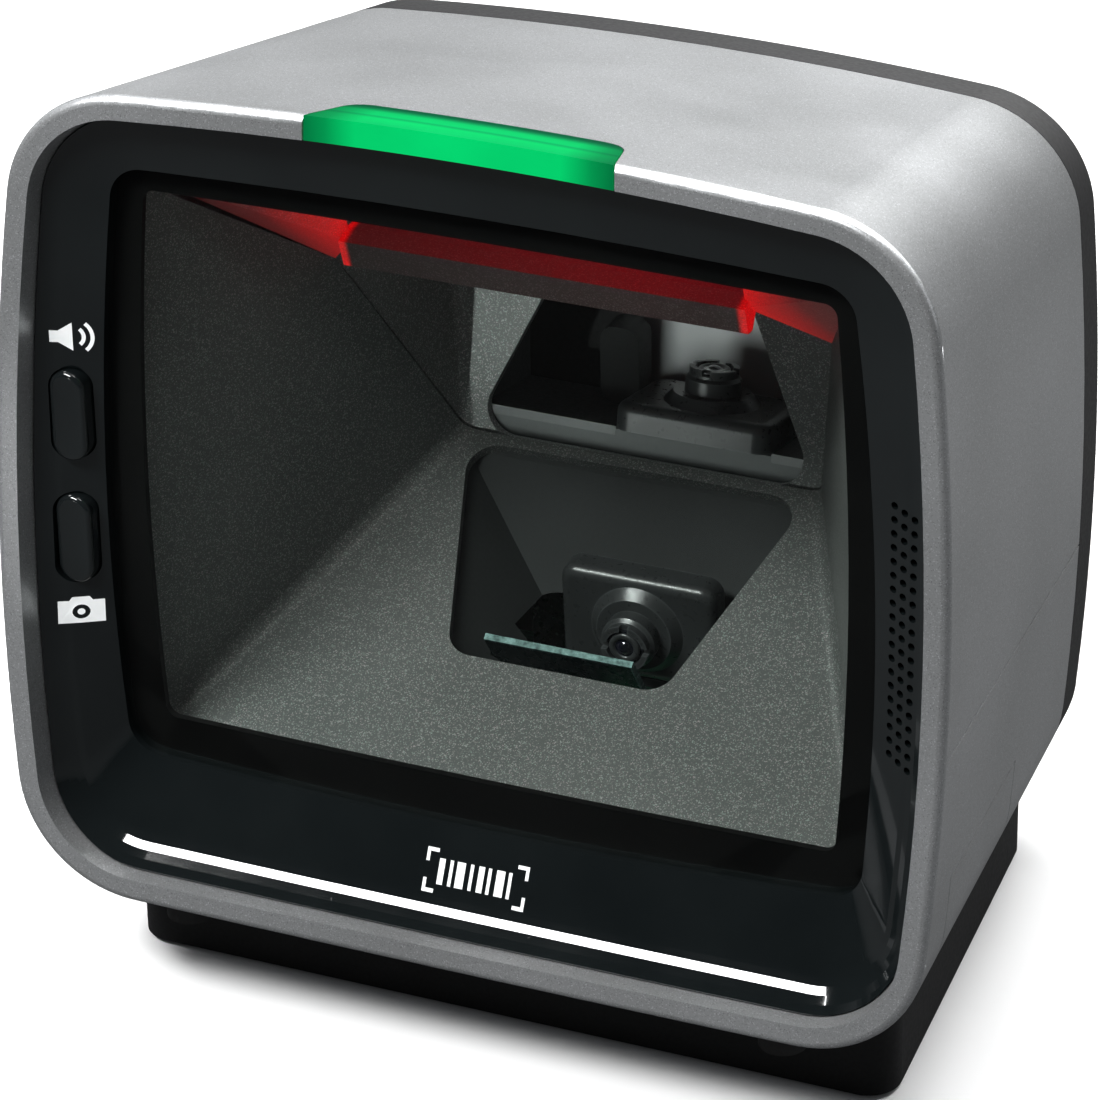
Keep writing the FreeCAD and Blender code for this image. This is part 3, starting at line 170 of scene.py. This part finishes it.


def painted_lamp_light(g, flake):
    """Painted red light of the lamps on the hood, made as emission: strongest beside the bar's ends, faint
    along its top.

    Returns the colour of the painted light and its strength, which sparkles from flake to flake.
    """
    where = g.node("SeparateXYZ", {0: g.place()})
    across = g.node("Math", {0: where.outputs["X"]}, operation="ABSOLUTE")
    wing = g.ramp(g.span(across, BAR_HALF - MM, BAR_HALF + WING_REACH), (0.0, (0.04, 0.0, 0.0)),
                  (0.06, (0.62, 0.0, 0.001)), (0.22, (0.42, 0.0, 0.001)),
                  (0.55, (0.09, 0.0, 0.001)), (1.0, (0.008, 0.0, 0.0)))
    facing = g.node("SeparateXYZ", {0: g.node("NewGeometry").outputs["Normal"]})
    upward = g.span(facing.outputs["Z"], -0.1, 0.3, 0.10, 1.0)
    along = g.ramp(g.span(where.outputs["X"], -BAR_HALF, BAR_HALF), (0.0, (0.06, 0.002, 0.003)),
                   (0.75, (0.14, 0.001, 0.003)), (1.0, (0.10, 0.001, 0.003)))
    bar = g.mix(1.0, along, upward, "MULTIPLY")
    beyond = g.span(across, BAR_HALF - 0.5 * MM, BAR_HALF + 0.2 * MM)
    sparkle = g.span(flake, 0.2, 0.9, 0.65, 1.15)
    return g.mix(beyond, bar, wing), sparkle


def cavity_plastic(name="cavity_plastic", gain=1.0, paints_lamp_light=False):
    """Dark plastic with metal flake: fine coloured sparkles on a spark-eroded texture.

    The gain scales its colour; the flag for the hood adds painted red light from its lamps, made as
    emission.
    """
    g = Graph(name)
    flake = g.node("SeparateColor", {0: g.cells(scale=6200.0)})
    bright = g.times(g.span(flake.outputs[0], 0.72, 1.0), 0.75)
    tint = g.mix(flake.outputs[1], scaled((0.30, 0.38, 0.34), gain), scaled((0.42, 0.34, 0.36), gain))
    cloud = g.noise(scale=30.0, detail=2.0)
    tone = g.ramp(cloud, (0.3, scaled((0.088, 0.094, 0.090), gain)),
                  (0.7, scaled((0.112, 0.116, 0.112), gain)))
    colour = g.mix(bright, tone, tint)
    grain = g.bump(g.noise(scale=3000.0, detail=2.0), strength=0.5, distance=0.05 * MM)
    # painted red lamp light on the hood, as emission, only when asked for
    glow, sparkle = painted_lamp_light(g, flake.outputs[2]) if paints_lamp_light else ((0.0, 0.0, 0.0), 0.0)
    return g.shade(Base_Color=colour, Metallic=0.35, Roughness=0.42, Normal=grain,
                   Emission_Color=glow, Emission_Strength=sparkle)


def gloss_black(name="gloss_black", edge_wear_and_highlight=0.0):
    """Polished black with faint handling haze; the keys also get a lighter rim, partly wear and partly a
    painted highlight.
    """
    g = Graph(name)
    haze = g.noise(scale=45.0, detail=4.0, rough=0.6)
    scuff = g.span(g.noise(scale=900.0, detail=2.0), 0.72, 0.8)
    rough = g.sum(g.span(haze, 0.35, 0.75, 0.045, 0.10), g.times(scuff, 0.08))
    tone = g.ramp(haze, (0.3, (0.0035, 0.0048, 0.0052)), (0.7, (0.0055, 0.0072, 0.0076)))
    if edge_wear_and_highlight:
        # lighter rim on the keys: partly wear, partly a painted highlight
        tone = g.mix(g.times(g.edge_mask(0.4 * MM), edge_wear_and_highlight), tone, (0.10, 0.11, 0.115))
    ripple = g.bump(g.noise(scale=160.0, detail=2.0), strength=0.02, distance=0.2 * MM)
    return g.shade(Base_Color=tone, Roughness=rough, Coat_Weight=0.5, Coat_Roughness=0.03,
                   Specular_IOR_Level=0.35, Normal=ripple)


def matte_black(name="matte_black", tone=(0.012, 0.012, 0.013), roughness=0.55, grain=0.35,
                shine=0.5):
    """Moulded black plastic with a spark-eroded texture."""
    g = Graph(name)
    fine, slow = two_noises(g, fine=1500.0, coarse=35.0)
    colour = g.ramp(slow, (0.35, tone), (0.7, scaled(tone, 1.5)))
    rough = g.span(fine, 0.3, 0.7, roughness - 0.05, roughness + 0.07)
    return g.shade(Base_Color=colour, Roughness=rough, Specular_IOR_Level=shine,
                   Normal=g.bump(fine, strength=grain, distance=0.06 * MM))


def satin_camera():
    """Smoother black plastic of the camera modules, with lighter edges that are partly wear and partly a
    painted highlight.
    """
    g = Graph("satin_camera")
    fine, slow = two_noises(g, fine=1100.0, coarse=60.0)
    colour = g.ramp(slow, (0.35, (0.022, 0.024, 0.024)), (0.7, (0.032, 0.034, 0.035)))
    # lighter edges: partly wear, partly a painted highlight
    wear_and_highlight = g.mix(g.times(g.edge_mask(0.5 * MM), 0.35), colour, (0.14, 0.15, 0.155))
    return g.shade(Base_Color=wear_and_highlight, Roughness=g.span(fine, 0.3, 0.7, 0.26, 0.34),
                   Normal=g.bump(fine, strength=0.08, distance=0.03 * MM))


def clear_glass():
    """Thin window glass: see-through, with a Fresnel reflection, dust specks and a faint green."""
    g = Graph("clear_glass")
    clear = g.node("BsdfTransparent", {"Color": (0.93, 0.955, 0.945)})
    dust = g.span(g.cells(420.0, "Distance"), 0.035, 0.02)
    haze = g.noise(scale=18.0, detail=3.0)
    gloss = g.node("BsdfGlossy", {"Roughness": g.span(haze, 0.3, 0.7, 0.015, 0.05)})
    fresnel = g.node("Fresnel", {"IOR": 1.45})
    body = g.node("MixShader", {0: g.times(fresnel, 0.22), 1: clear, 2: gloss})
    speck = g.node("BsdfDiffuse", {"Color": (0.4, 0.4, 0.38)})
    full = g.node("MixShader", {0: g.times(dust, 0.06), 1: body, 2: speck})
    g.tree.links.new(full.outputs[0], g.out.inputs[0])
    return g.material


def coated_lens():
    """Front element of a camera lens: dark, deeply coated, with a violet-green sheen."""
    g = Graph("coated_lens")
    facing = g.node("LayerWeight", {"Blend": 0.4}).outputs["Facing"]
    sheen = g.ramp(facing, (0.0, (0.004, 0.006, 0.008)), (0.6, (0.010, 0.008, 0.018)),
                   (1.0, (0.04, 0.07, 0.055)))
    ripple = g.bump(g.noise(scale=300.0, detail=1.0), strength=0.02, distance=0.05 * MM)
    return g.shade(Base_Color=sheen, Roughness=0.03, Coat_Weight=1.0, Coat_Roughness=0.0,
                   Specular_IOR_Level=0.8, Normal=ripple)


def mirror_strip():
    """Strip of glass: dark green face, and a painted highlight, broken into chipped patches, along its top
    and its right end.
    """
    g = Graph("mirror_strip")
    chips = g.noise(scale=900.0, detail=4.0, rough=0.7)
    low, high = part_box("fold_mirror")
    where = g.node("SeparateXYZ", {0: g.place()})
    # painted highlight along the glass's top edge and its right end
    top = g.span(where.outputs["Z"], high.z - 1.1 * MM, high.z - 0.7 * MM)
    end = g.span(g.node("Math", {0: where.outputs["X"], 1: high.x - 0.35 * MM}, operation="SUBTRACT"),
                 0.0, 0.15 * MM)
    painted_rim_highlight = g.times(g.sum(top, end), g.span(chips, 0.35, 0.6, 0.25, 1.0))
    face = g.ramp(chips, (0.3, (0.010, 0.020, 0.020)), (0.7, (0.020, 0.040, 0.040)))
    tone = g.mix(painted_rim_highlight, face, (0.20, 0.34, 0.32))
    return g.shade(Base_Color=tone, Roughness=g.span(chips, 0.3, 0.7, 0.10, 0.35),
                   Specular_IOR_Level=0.5, Normal=g.bump(chips, strength=0.3, distance=0.1 * MM))


def status_green():
    """Lit green diffuser: dark rear rim, moulded lines along its length, dimmer ends."""
    g = Graph("status_green")
    low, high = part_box("status_light")
    where = g.node("SeparateXYZ", {0: g.place()})
    across = g.node("Math", {0: where.outputs["X"]}, operation="ABSOLUTE")
    along = g.ramp(g.span(across, 0.0, high.x), (0.0, (1.0, 1.0, 1.0)), (0.66, (0.95, 0.95, 0.95)),
                   (0.86, (0.42, 0.42, 0.42)), (1.0, (0.22, 0.22, 0.22)))
    depth = g.span(where.outputs["Y"], low.y, high.y)
    glow = g.ramp(depth, (0.0, (0.001, 0.74, 0.17)), (0.36, (0.001, 0.83, 0.18)),
                  (0.46, (0.001, 0.50, 0.12)), (0.52, (0.001, 0.78, 0.18)),
                  (0.70, (0.001, 0.72, 0.16)), (0.80, (0.001, 0.30, 0.07)),
                  (0.90, (0.0, 0.06, 0.02)))
    mottle = g.span(g.noise(scale=120.0, detail=3.0), 0.3, 0.7, 0.78, 0.86)
    colour = g.mix(1.0, glow, along, "MULTIPLY")
    return g.shade(Base_Color=(0.0, 0.03, 0.012), Roughness=0.30, Emission_Color=colour,
                   Emission_Strength=mottle, Specular_IOR_Level=0.04,
                   Normal=g.bump(g.noise(scale=500.0, detail=1.0), strength=0.05, distance=0.05 * MM))


def lit_lamp(name, colour, strength):
    """Lamp lens that glows, with a faint mottle."""
    g = Graph(name)
    grain = g.noise(scale=800.0, detail=2.0)
    dimmest = strength * 0.8
    return g.shade(Base_Color=colour, Roughness=0.25, Emission_Color=colour,
                   Emission_Strength=g.span(grain, 0.3, 0.7, dimmest, strength))


def circuit_board():
    """Solder mask over copper tracks, with pads of tin."""
    g = Graph("circuit_board")
    tracks = g.node("TexBrick", {"Vector": g.place(), "Scale": 260.0, "Mortar Size": 0.03})
    pads = g.span(g.cells(520.0, "Distance"), 0.16, 0.12)
    base = g.mix(tracks.outputs[1], (0.012, 0.11, 0.055), (0.03, 0.20, 0.10))
    colour = g.mix(pads, base, (0.62, 0.60, 0.52))
    return g.shade(Base_Color=colour, Metallic=g.times(pads, 0.8), Roughness=0.35,
                   Normal=g.bump(tracks.outputs[1], strength=0.2, distance=0.05 * MM))


def turned_steel():
    """Zinc-bright steel of screws and sockets."""
    g = Graph("turned_steel")
    rings = g.noise(scale=1400.0, detail=2.0)
    tone = g.ramp(rings, (0.3, (0.42, 0.42, 0.43)), (0.7, (0.62, 0.62, 0.63)))
    return g.shade(Base_Color=tone, Metallic=1.0, Roughness=g.span(rings, 0.3, 0.7, 0.22, 0.4),
                   Normal=g.bump(rings, strength=0.1, distance=0.02 * MM))


def pale_plastic():
    """Light grey moulded panel."""
    g = Graph("pale_plastic")
    fine, slow = two_noises(g, fine=1300.0, coarse=50.0)
    tone = g.ramp(slow, (0.3, (0.20, 0.20, 0.205)), (0.7, (0.26, 0.26, 0.265)))
    return g.shade(Base_Color=tone, Roughness=g.span(fine, 0.3, 0.7, 0.42, 0.55),
                   Normal=g.bump(fine, strength=0.12, distance=0.04 * MM))


def rubber():
    """Dull black rubber of the sole and the front stops."""
    g = Graph("rubber")
    fine, slow = two_noises(g, fine=900.0, coarse=40.0)
    tone = g.ramp(slow, (0.3, (0.010, 0.010, 0.010)), (0.7, (0.018, 0.018, 0.018)))
    return g.shade(Base_Color=tone, Roughness=g.span(fine, 0.3, 0.7, 0.78, 0.9),
                   Normal=g.bump(fine, strength=0.3, distance=0.08 * MM))


def white_ink():
    """Screen-printed white of the symbols."""
    g = Graph("white_ink")
    fine, slow = two_noises(g, fine=2400.0, coarse=300.0)
    tone = g.ramp(slow, (0.3, (0.74, 0.76, 0.76)), (0.7, (0.86, 0.87, 0.87)))
    # the faint emission is painted light that brightens the ink
    return g.shade(Base_Color=tone, Roughness=0.4, Emission_Color=(0.8, 0.85, 0.85),
                   Emission_Strength=0.12, Normal=g.bump(fine, strength=0.08, distance=0.01 * MM))


PAINT = silver_paint()
CAVITY = cavity_plastic()
GLOSS = gloss_black()
KEY = gloss_black("gloss_key", edge_wear_and_highlight=0.6)
WALL = cavity_plastic("upper_wall_flake", gain=1.6)
HOOD = cavity_plastic("hood_flake", gain=0.6, paints_lamp_light=True)
MASK = matte_black("mask_black", (0.0025, 0.0025, 0.0025), roughness=0.6, grain=0.1, shine=0.08)
MATTE = matte_black()
BAY = matte_black("bay_black", (0.022, 0.024, 0.024), roughness=0.58, grain=0.1, shine=0.35)
CASE = matte_black("base_black", (0.004, 0.004, 0.0045), roughness=0.6, grain=0.25)
CAMERA = satin_camera()
GLASS = clear_glass()
LENS = coated_lens()
MIRROR = mirror_strip()
GREEN = status_green()
RED_LAMP = lit_lamp("red_lamp", (1.0, 0.02, 0.01), strength=1.5)
GREEN_LAMP = lit_lamp("green_lamp", (0.05, 0.9, 0.3), strength=1.0)
BOARD = circuit_board()
STEEL = turned_steel()
PALE = pale_plastic()
RUBBER = rubber()
INK = white_ink()

FINISH = {
    "main_housing": PAINT, "lower_tray": PAINT, "rear_cover": CASE, "front_bezel": GLOSS,
    "window_glass": GLASS, "window_frame": MASK, "status_light": GREEN, "scan_tub": CAVITY,
    "upper_wall": WALL, "light_hood": HOOD, "lamp_board": BOARD, "red_lamps": RED_LAMP,
    "status_board": BOARD, "green_lamps": GREEN_LAMP, "lower_camera_housing": CAMERA,
    "upper_camera_housing": CAMERA, "lower_camera_barrel": CAMERA, "upper_camera_barrel": CAMERA,
    "lower_camera_lens": LENS, "upper_camera_lens": LENS, "sensor_boards": BOARD,
    "lower_bay": BAY, "fold_mirror": MIRROR, "upper_bay": BAY, "bay_backing": PALE,
    "bay_block": BAY, "button_volume": KEY, "button_camera": KEY, "plunger_volume": PALE,
    "plunger_camera": PALE, "button_board": BOARD, "switches": CAMERA, "speaker": MATTE,
    "main_board": BOARD, "board_chips": CAMERA, "board_posts": MATTE, "board_screws": STEEL,
    "sockets": STEEL, "rear_screws": STEEL, "neck_screws": STEEL, "base": CASE,
    "base_plate": CASE, "foot_pad": RUBBER, "ballast": STEEL, "front_bumpers": RUBBER,
}
for node, material in FINISH.items():
    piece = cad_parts[node]
    piece.data.materials.clear()
    piece.data.materials.append(material)


# ---------------------------------------------------------------- printed symbols and lens fronts

PRINT_LIFT = 0.03 * MM           # ink stands this far off the bezel
PRINT_THICK = 0.04 * MM
RAY_START = -0.2                 # well in front of the object
BACKWARD = Vector((0, 1, 0))


def bezel_at(x, z):
    """Place and normal of the bezel's front surface, found by a ray from the front."""
    hit, place, normal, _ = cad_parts["front_bezel"].ray_cast(Vector((x, RAY_START, z)), BACKWARD)
    if not hit:
        raise RuntimeError(f"the bezel has no surface behind ({x:.4f}, {z:.4f})")
    return place, normal


def add_piece(name, points, faces, material):
    """New mesh piece that rides on the body, with the given finish."""
    mesh = bpy.data.meshes.new(name)
    mesh.from_pydata(points, [], faces)
    mesh.update()
    mesh.materials.append(material)
    piece = bpy.data.objects.new(name, mesh)
    bpy.context.scene.collection.objects.link(piece)
    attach(piece, BODY)
    return piece


def printed(name, shapes, x, z):
    """Thin ink shapes, given as outlines in millimetres about (x, z), laid on the bezel."""
    points, faces = [], []
    for outline in shapes:
        first, count = len(points), len(outline)
        for lift in (PRINT_LIFT, PRINT_LIFT + PRINT_THICK):
            for across, up in outline:
                place, normal = bezel_at(x + across * MM, z + up * MM)
                points.append(place + lift * normal)
        faces.append(tuple(first + i for i in reversed(range(count))))
        faces.append(tuple(first + count + i for i in range(count)))
        for i in range(count):
            j = (i + 1) % count
            faces.append((first + i, first + j, first + count + j, first + count + i))
    return add_piece(name, points, faces, INK)


def arc_band(radius, width, start, end, steps=10):
    """Outline of a curved band about the origin, angles in degrees."""
    angles = [math.radians(start + (end - start) * i / steps) for i in range(steps + 1)]
    outer = [(radius * math.cos(a), radius * math.sin(a)) for a in angles]
    inner = [((radius - width) * math.cos(a), (radius - width) * math.sin(a)) for a in angles]
    return outer + inner[::-1]


def circle_points(radius, centre_z, degrees):
    """Points of a circle about (0, centre_z) at the given angles."""
    angles = [math.radians(d) for d in degrees]
    return [(radius * math.cos(a), radius * math.sin(a) + centre_z) for a in angles]


def speaker_symbol(x, z):
    """Loudspeaker with two sound waves."""
    horn = [(-3.1, -0.9), (-1.9, -0.9), (0.1, -2.2), (0.1, 2.2), (-1.9, 0.9), (-3.1, 0.9)]
    waves = [arc_band(radius, 0.55, -48, 48) for radius in (1.9, 3.1)]
    printed("symbol_volume", [horn] + waves, x, z)


def camera_symbol(x, z):
    """Camera body with a raised finder, a round gap for its lens and a dot in the middle."""
    low, high, half = -2.1, 1.5, 3.0
    lens_z, ring, pupil = -0.3, 1.15, 0.5
    finder, finder_rise, finder_slope = 1.1, 0.6, 0.4
    top = high + finder_rise
    right = circle_points(ring, lens_z, range(90, -91, -20))
    left = [(-u, v) for u, v in right[::-1]]
    right_half = ([(0.0, top), (0.0, right[0][1])] + right + [(0.0, low), (half, low)]
                  + [(half, high), (finder + finder_slope, high), (finder, top)])
    left_half = ([(0.0, low), (0.0, left[0][1])] + left + [(0.0, top)]
                 + [(-finder, top), (-finder - finder_slope, high), (-half, high), (-half, low)])
    dot = circle_points(pupil, lens_z, range(0, 360, 30))
    printed("symbol_camera", [right_half, left_half, dot], x, z)


def scan_symbol(x, z):
    """Plain row of bars between corner marks: the general sign for a code reader."""
    thin, medium, wide = 0.5, 0.9, 1.3
    small, large = 0.6, 0.8
    half_height, at_x = 1.7, -5.9
    bars = []
    for width, gap in ((medium, large), (thin, small), (wide, large), (thin, large), (medium, small),
                       (thin, large), (wide, small), (thin, 0.0)):
        right = at_x + width
        bars.append([(at_x, -half_height), (right, -half_height), (right, half_height), (at_x, half_height)])
        at_x = right + gap
    reach, tall, arm, thick = 8.0, 2.9, 1.8, 0.5
    corners = []
    for sx in (-1, 1):
        for sz in (-1, 1):
            corner = [(reach, tall), (reach - arm, tall), (reach - arm, tall - thick),
                      (reach - thick, tall - thick), (reach - thick, tall - arm), (reach, tall - arm)]
            corners.append([(sx * a, sz * b) for a, b in corner])
    printed("symbol_scan", bars + corners, x, z)


# Profiles of a camera's domed front and its retaining ring: radius and height in millimetres
DOME = [(0.0, 0.95), (0.45, 0.88), (0.85, 0.68), (1.15, 0.38), (1.3, 0.0), (1.3, -0.3), (0.0, -0.3)]
RING = [(1.45, 0.30), (1.60, 0.55), (2.10, 0.62), (2.45, 0.45), (2.45, 0.20), (1.45, 0.10)]
AROUND = 28                      # points round each turned piece


def lathe(name, profile, centre, axis, material):
    """Dome (a profile that starts on the axis) or ring, turned about an axis."""
    turn = axis.to_track_quat("Z", "Y")
    points, faces, rows = [], [], []
    for radius, height in profile:
        count = AROUND if radius > 0 else 1
        rows.append((len(points), count))
        for i in range(count):
            angle = 2 * math.pi * i / AROUND
            spot = Vector((radius * math.cos(angle), radius * math.sin(angle), height)) * MM
            points.append(centre + turn @ spot)
    is_ring = profile[0][0] > 0
    following = rows[1:] + rows[:1] if is_ring else rows[1:]
    for (here, here_count), (there, there_count) in zip(rows, following):
        for i in range(AROUND):
            j = (i + 1) % AROUND
            if here_count == 1:
                faces.append((here, there + i, there + j))
            elif there_count == 1:
                faces.append((here + i, there, here + j))
            else:
                faces.append((here + i, there + i, there + j, here + j))
    piece = add_piece(name, points, faces, material)
    piece.data.polygons.foreach_set("use_smooth", [True] * len(faces))


def lens_parts(label):
    """Domed front element and its retaining ring on one camera."""
    lens_low, lens_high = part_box(f"{label}_camera_lens")
    barrel_low, barrel_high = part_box(f"{label}_camera_barrel")
    centre = (lens_low + lens_high) / 2
    axis = (centre - (barrel_low + barrel_high) / 2).normalized()
    lathe(f"{label}_lens_dome", DOME, centre, axis, LENS)
    lathe(f"{label}_lens_ring", RING, centre, axis, CAMERA)


def symbols():
    """Signs above the upper key, below the lower key and under the window."""
    volume_low, volume_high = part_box("button_volume")
    camera_low, camera_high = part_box("button_camera")
    window_low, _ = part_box("window_glass")
    above_key, below_key, below_window = 3.9 * MM, 3.5 * MM, 6.2 * MM
    speaker_right, camera_right, scan_x = 0.6 * MM, 0.15 * MM, -0.5 * MM
    speaker_symbol((volume_low.x + volume_high.x) / 2 + speaker_right, volume_high.z + above_key)
    camera_symbol((camera_low.x + camera_high.x) / 2 + camera_right, camera_low.z - below_key)
    scan_symbol(scan_x, window_low.z - below_window)


symbols()
for camera_label in ("lower", "upper"):
    lens_parts(camera_label)


# ---------------------------------------------------------------- stage, light and camera

def stage_floor():
    """Pale floor that sweeps up into a backdrop behind the object.

    The camera sees it pale. Reflections and bounced light see it near black, which keeps the
    dark parts of the object dark.
    """
    mesh = bpy.data.meshes.new("floor")
    half, front, rear, high, bend = 3.0, -3.0, 1.6, 3.0, 0.8
    profile = [(front, 0.0), (rear - bend, 0.0)]
    steps = 16
    for i in range(1, steps + 1):
        angle = math.pi / 2 * i / steps
        profile.append((rear - bend + bend * math.sin(angle), bend - bend * math.cos(angle)))
    profile.append((rear, high))
    points = [(x, y, z) for y, z in profile for x in (-half, half)]
    faces = [(2 * i, 2 * i + 1, 2 * i + 3, 2 * i + 2) for i in range(len(profile) - 1)]
    mesh.from_pydata(points, [], faces)
    mesh.polygons.foreach_set("use_smooth", [True] * len(mesh.polygons))
    floor = bpy.data.objects.new("floor", mesh)
    bpy.context.scene.collection.objects.link(floor)
    g = Graph("floor_white")
    mottle = g.noise(scale=3.0, detail=3.0)
    pale = g.ramp(mottle, (0.3, (0.80, 0.80, 0.80)), (0.7, (0.84, 0.84, 0.84)))
    rays = g.node("LightPath")
    front_y, rear_y, rear_share, diffuse_share = -0.15, 0.25, 0.97, 0.8
    depth = g.node("SeparateXYZ", {0: g.place()}).outputs["Y"]
    front_most = g.span(depth, front_y, rear_y, 1.0, rear_share)
    bounced = g.sum(rays.outputs["Is Glossy Ray"], g.times(rays.outputs["Is Diffuse Ray"], diffuse_share))
    near_black = (0.02, 0.021, 0.022)
    g.shade(Base_Color=g.mix(g.times(bounced, front_most), pale, near_black), Roughness=0.75)
    mesh.materials.append(g.material)


def aim(lamp, place, target):
    """Put a lamp in the scene, pointing at a target and hidden from the camera."""
    lamp.location = place
    lamp.rotation_euler = (Vector(target) - Vector(place)).to_track_quat("-Z", "Y").to_euler()
    lamp.visible_camera = False
    bpy.context.scene.collection.objects.link(lamp)


def area_light(name, place, target, width, height, power):
    """Rectangular lamp, with sides in metres and power in watts."""
    data = bpy.data.lights.new(name, "AREA")
    data.shape = "RECTANGLE"
    data.size, data.size_y = width, height
    data.energy = power
    lamp = bpy.data.objects.new(name, data)
    aim(lamp, place, target)
    return lamp


def spot_light(name, place, target, reach, power):
    """Soft-edged spot whose cone has the radius reach at its target."""
    data = bpy.data.lights.new(name, "SPOT")
    data.energy = power
    data.shadow_soft_size, data.spot_blend = 0.02, 0.6
    data.spot_size = 2.0 * math.atan(reach / (Vector(target) - Vector(place)).length)
    aim(bpy.data.objects.new(name, data), place, target)


def world_light():
    """Dim even light from all round, which reflections see as bright behind the object only."""
    world = bpy.data.worlds.new("studio")
    bpy.context.scene.world = world
    world.use_nodes = True
    tree = world.node_tree
    tree.nodes.clear()

    def add(kind, *links):
        """Node of the world's tree, with (socket, value or link) pairs."""
        made = tree.nodes.new("ShaderNode" + kind)
        for socket, value in links:
            if isinstance(value, bpy.types.NodeSocket):
                tree.links.new(value, made.inputs[socket])
            else:
                made.inputs[socket].default_value = value
        return made

    rays = add("LightPath")
    facing = add("SeparateXYZ", (0, add("TexCoord").outputs["Generated"]))
    from_y, to_y, front_strength, rear_strength, even_strength = -0.1, 0.5, 0.02, 1.25, 0.15
    rear = add("MapRange", (0, facing.outputs["Y"]), (1, from_y), (2, to_y), (3, front_strength),
               (4, rear_strength))
    even = add("Background", (0, (0.92, 0.95, 1.0, 1.0)), (1, even_strength))
    seen = add("Background", (0, (0.95, 0.97, 1.0, 1.0)), (1, rear.outputs[0]))
    either = add("MixShader", (0, rays.outputs["Is Glossy Ray"]), (1, even.outputs[0]),
                 (2, seen.outputs[0]))
    add("OutputWorld", (0, either.outputs[0]))


def studio():
    """Soft lights above, behind and in front, and small ones into the cavity and upper bay."""
    world_light()
    bpy.context.scene.view_settings.view_transform = "Standard"
    middle = (0.0, 0.0, 0.08)
    area_light("overhead", (0.05, 0.15, 0.9), middle, width=0.8, height=0.6, power=15.0)
    area_light("rear_soft", (0.35, 1.0, 0.85), middle, width=1.4, height=0.7, power=14.0)
    area_light("strip_front", (-0.25, -0.42, 0.62), (0.0, -0.05, 0.02), width=0.42, height=0.11, power=9.0)
    spot_light("upper_wall", (-0.30, -0.80, 0.02), (-0.027, 0.02, 0.088), reach=0.015, power=13.0)
    upper_bay_light("upper_bay_soft", ("upper_bay", "bay_backing"), power=0.07)
    upper_bay_light("upper_camera_soft", ("upper_camera_housing", "upper_camera_barrel"), power=0.012)


def upper_bay_light(name, nodes, power):
    """Soft light from inside the window that reaches only the named pieces."""
    lit = bpy.data.collections.new(name)
    for node in nodes:
        lit.objects.link(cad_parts[node])
    low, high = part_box("upper_camera_housing")
    inside_window, side = (-0.02, -0.045, 0.075), 0.03
    lamp = area_light(name, inside_window, (low + high) / 2, side, side, power)
    lamp.light_linking.receiver_collection = lit


def camera():
    """The photographed view: from the front right, well above."""
    azimuth, elevation, roll = (math.radians(v) for v in (23.33, 28.51, -0.914))
    distance, focal = 765.78 * MM, 172.99
    target = Vector((0.0, -2.28, 94.46)) * MM
    shift_right, shift_up = 5.6 * MM, 29.34 * MM
    level = Vector((math.cos(azimuth), math.sin(azimuth), 0.0))
    ahead = Vector((-math.sin(azimuth) * math.cos(elevation),
                    math.cos(azimuth) * math.cos(elevation), -math.sin(elevation)))
    above = level.cross(ahead)
    right = math.cos(roll) * level + math.sin(roll) * above
    up = -math.sin(roll) * level + math.cos(roll) * above
    data = bpy.data.cameras.new("camera")
    data.lens, data.sensor_width = focal, 36.0
    data.clip_start = 0.05
    view = bpy.data.objects.new("camera", data)
    axes = Matrix((right, up, -ahead)).transposed().to_4x4()
    axes.translation = target - shift_right * right - shift_up * up - distance * ahead
    view.matrix_world = axes
    bpy.context.scene.collection.objects.link(view)
    bpy.context.scene.camera = view


stage_floor()
studio()
camera()
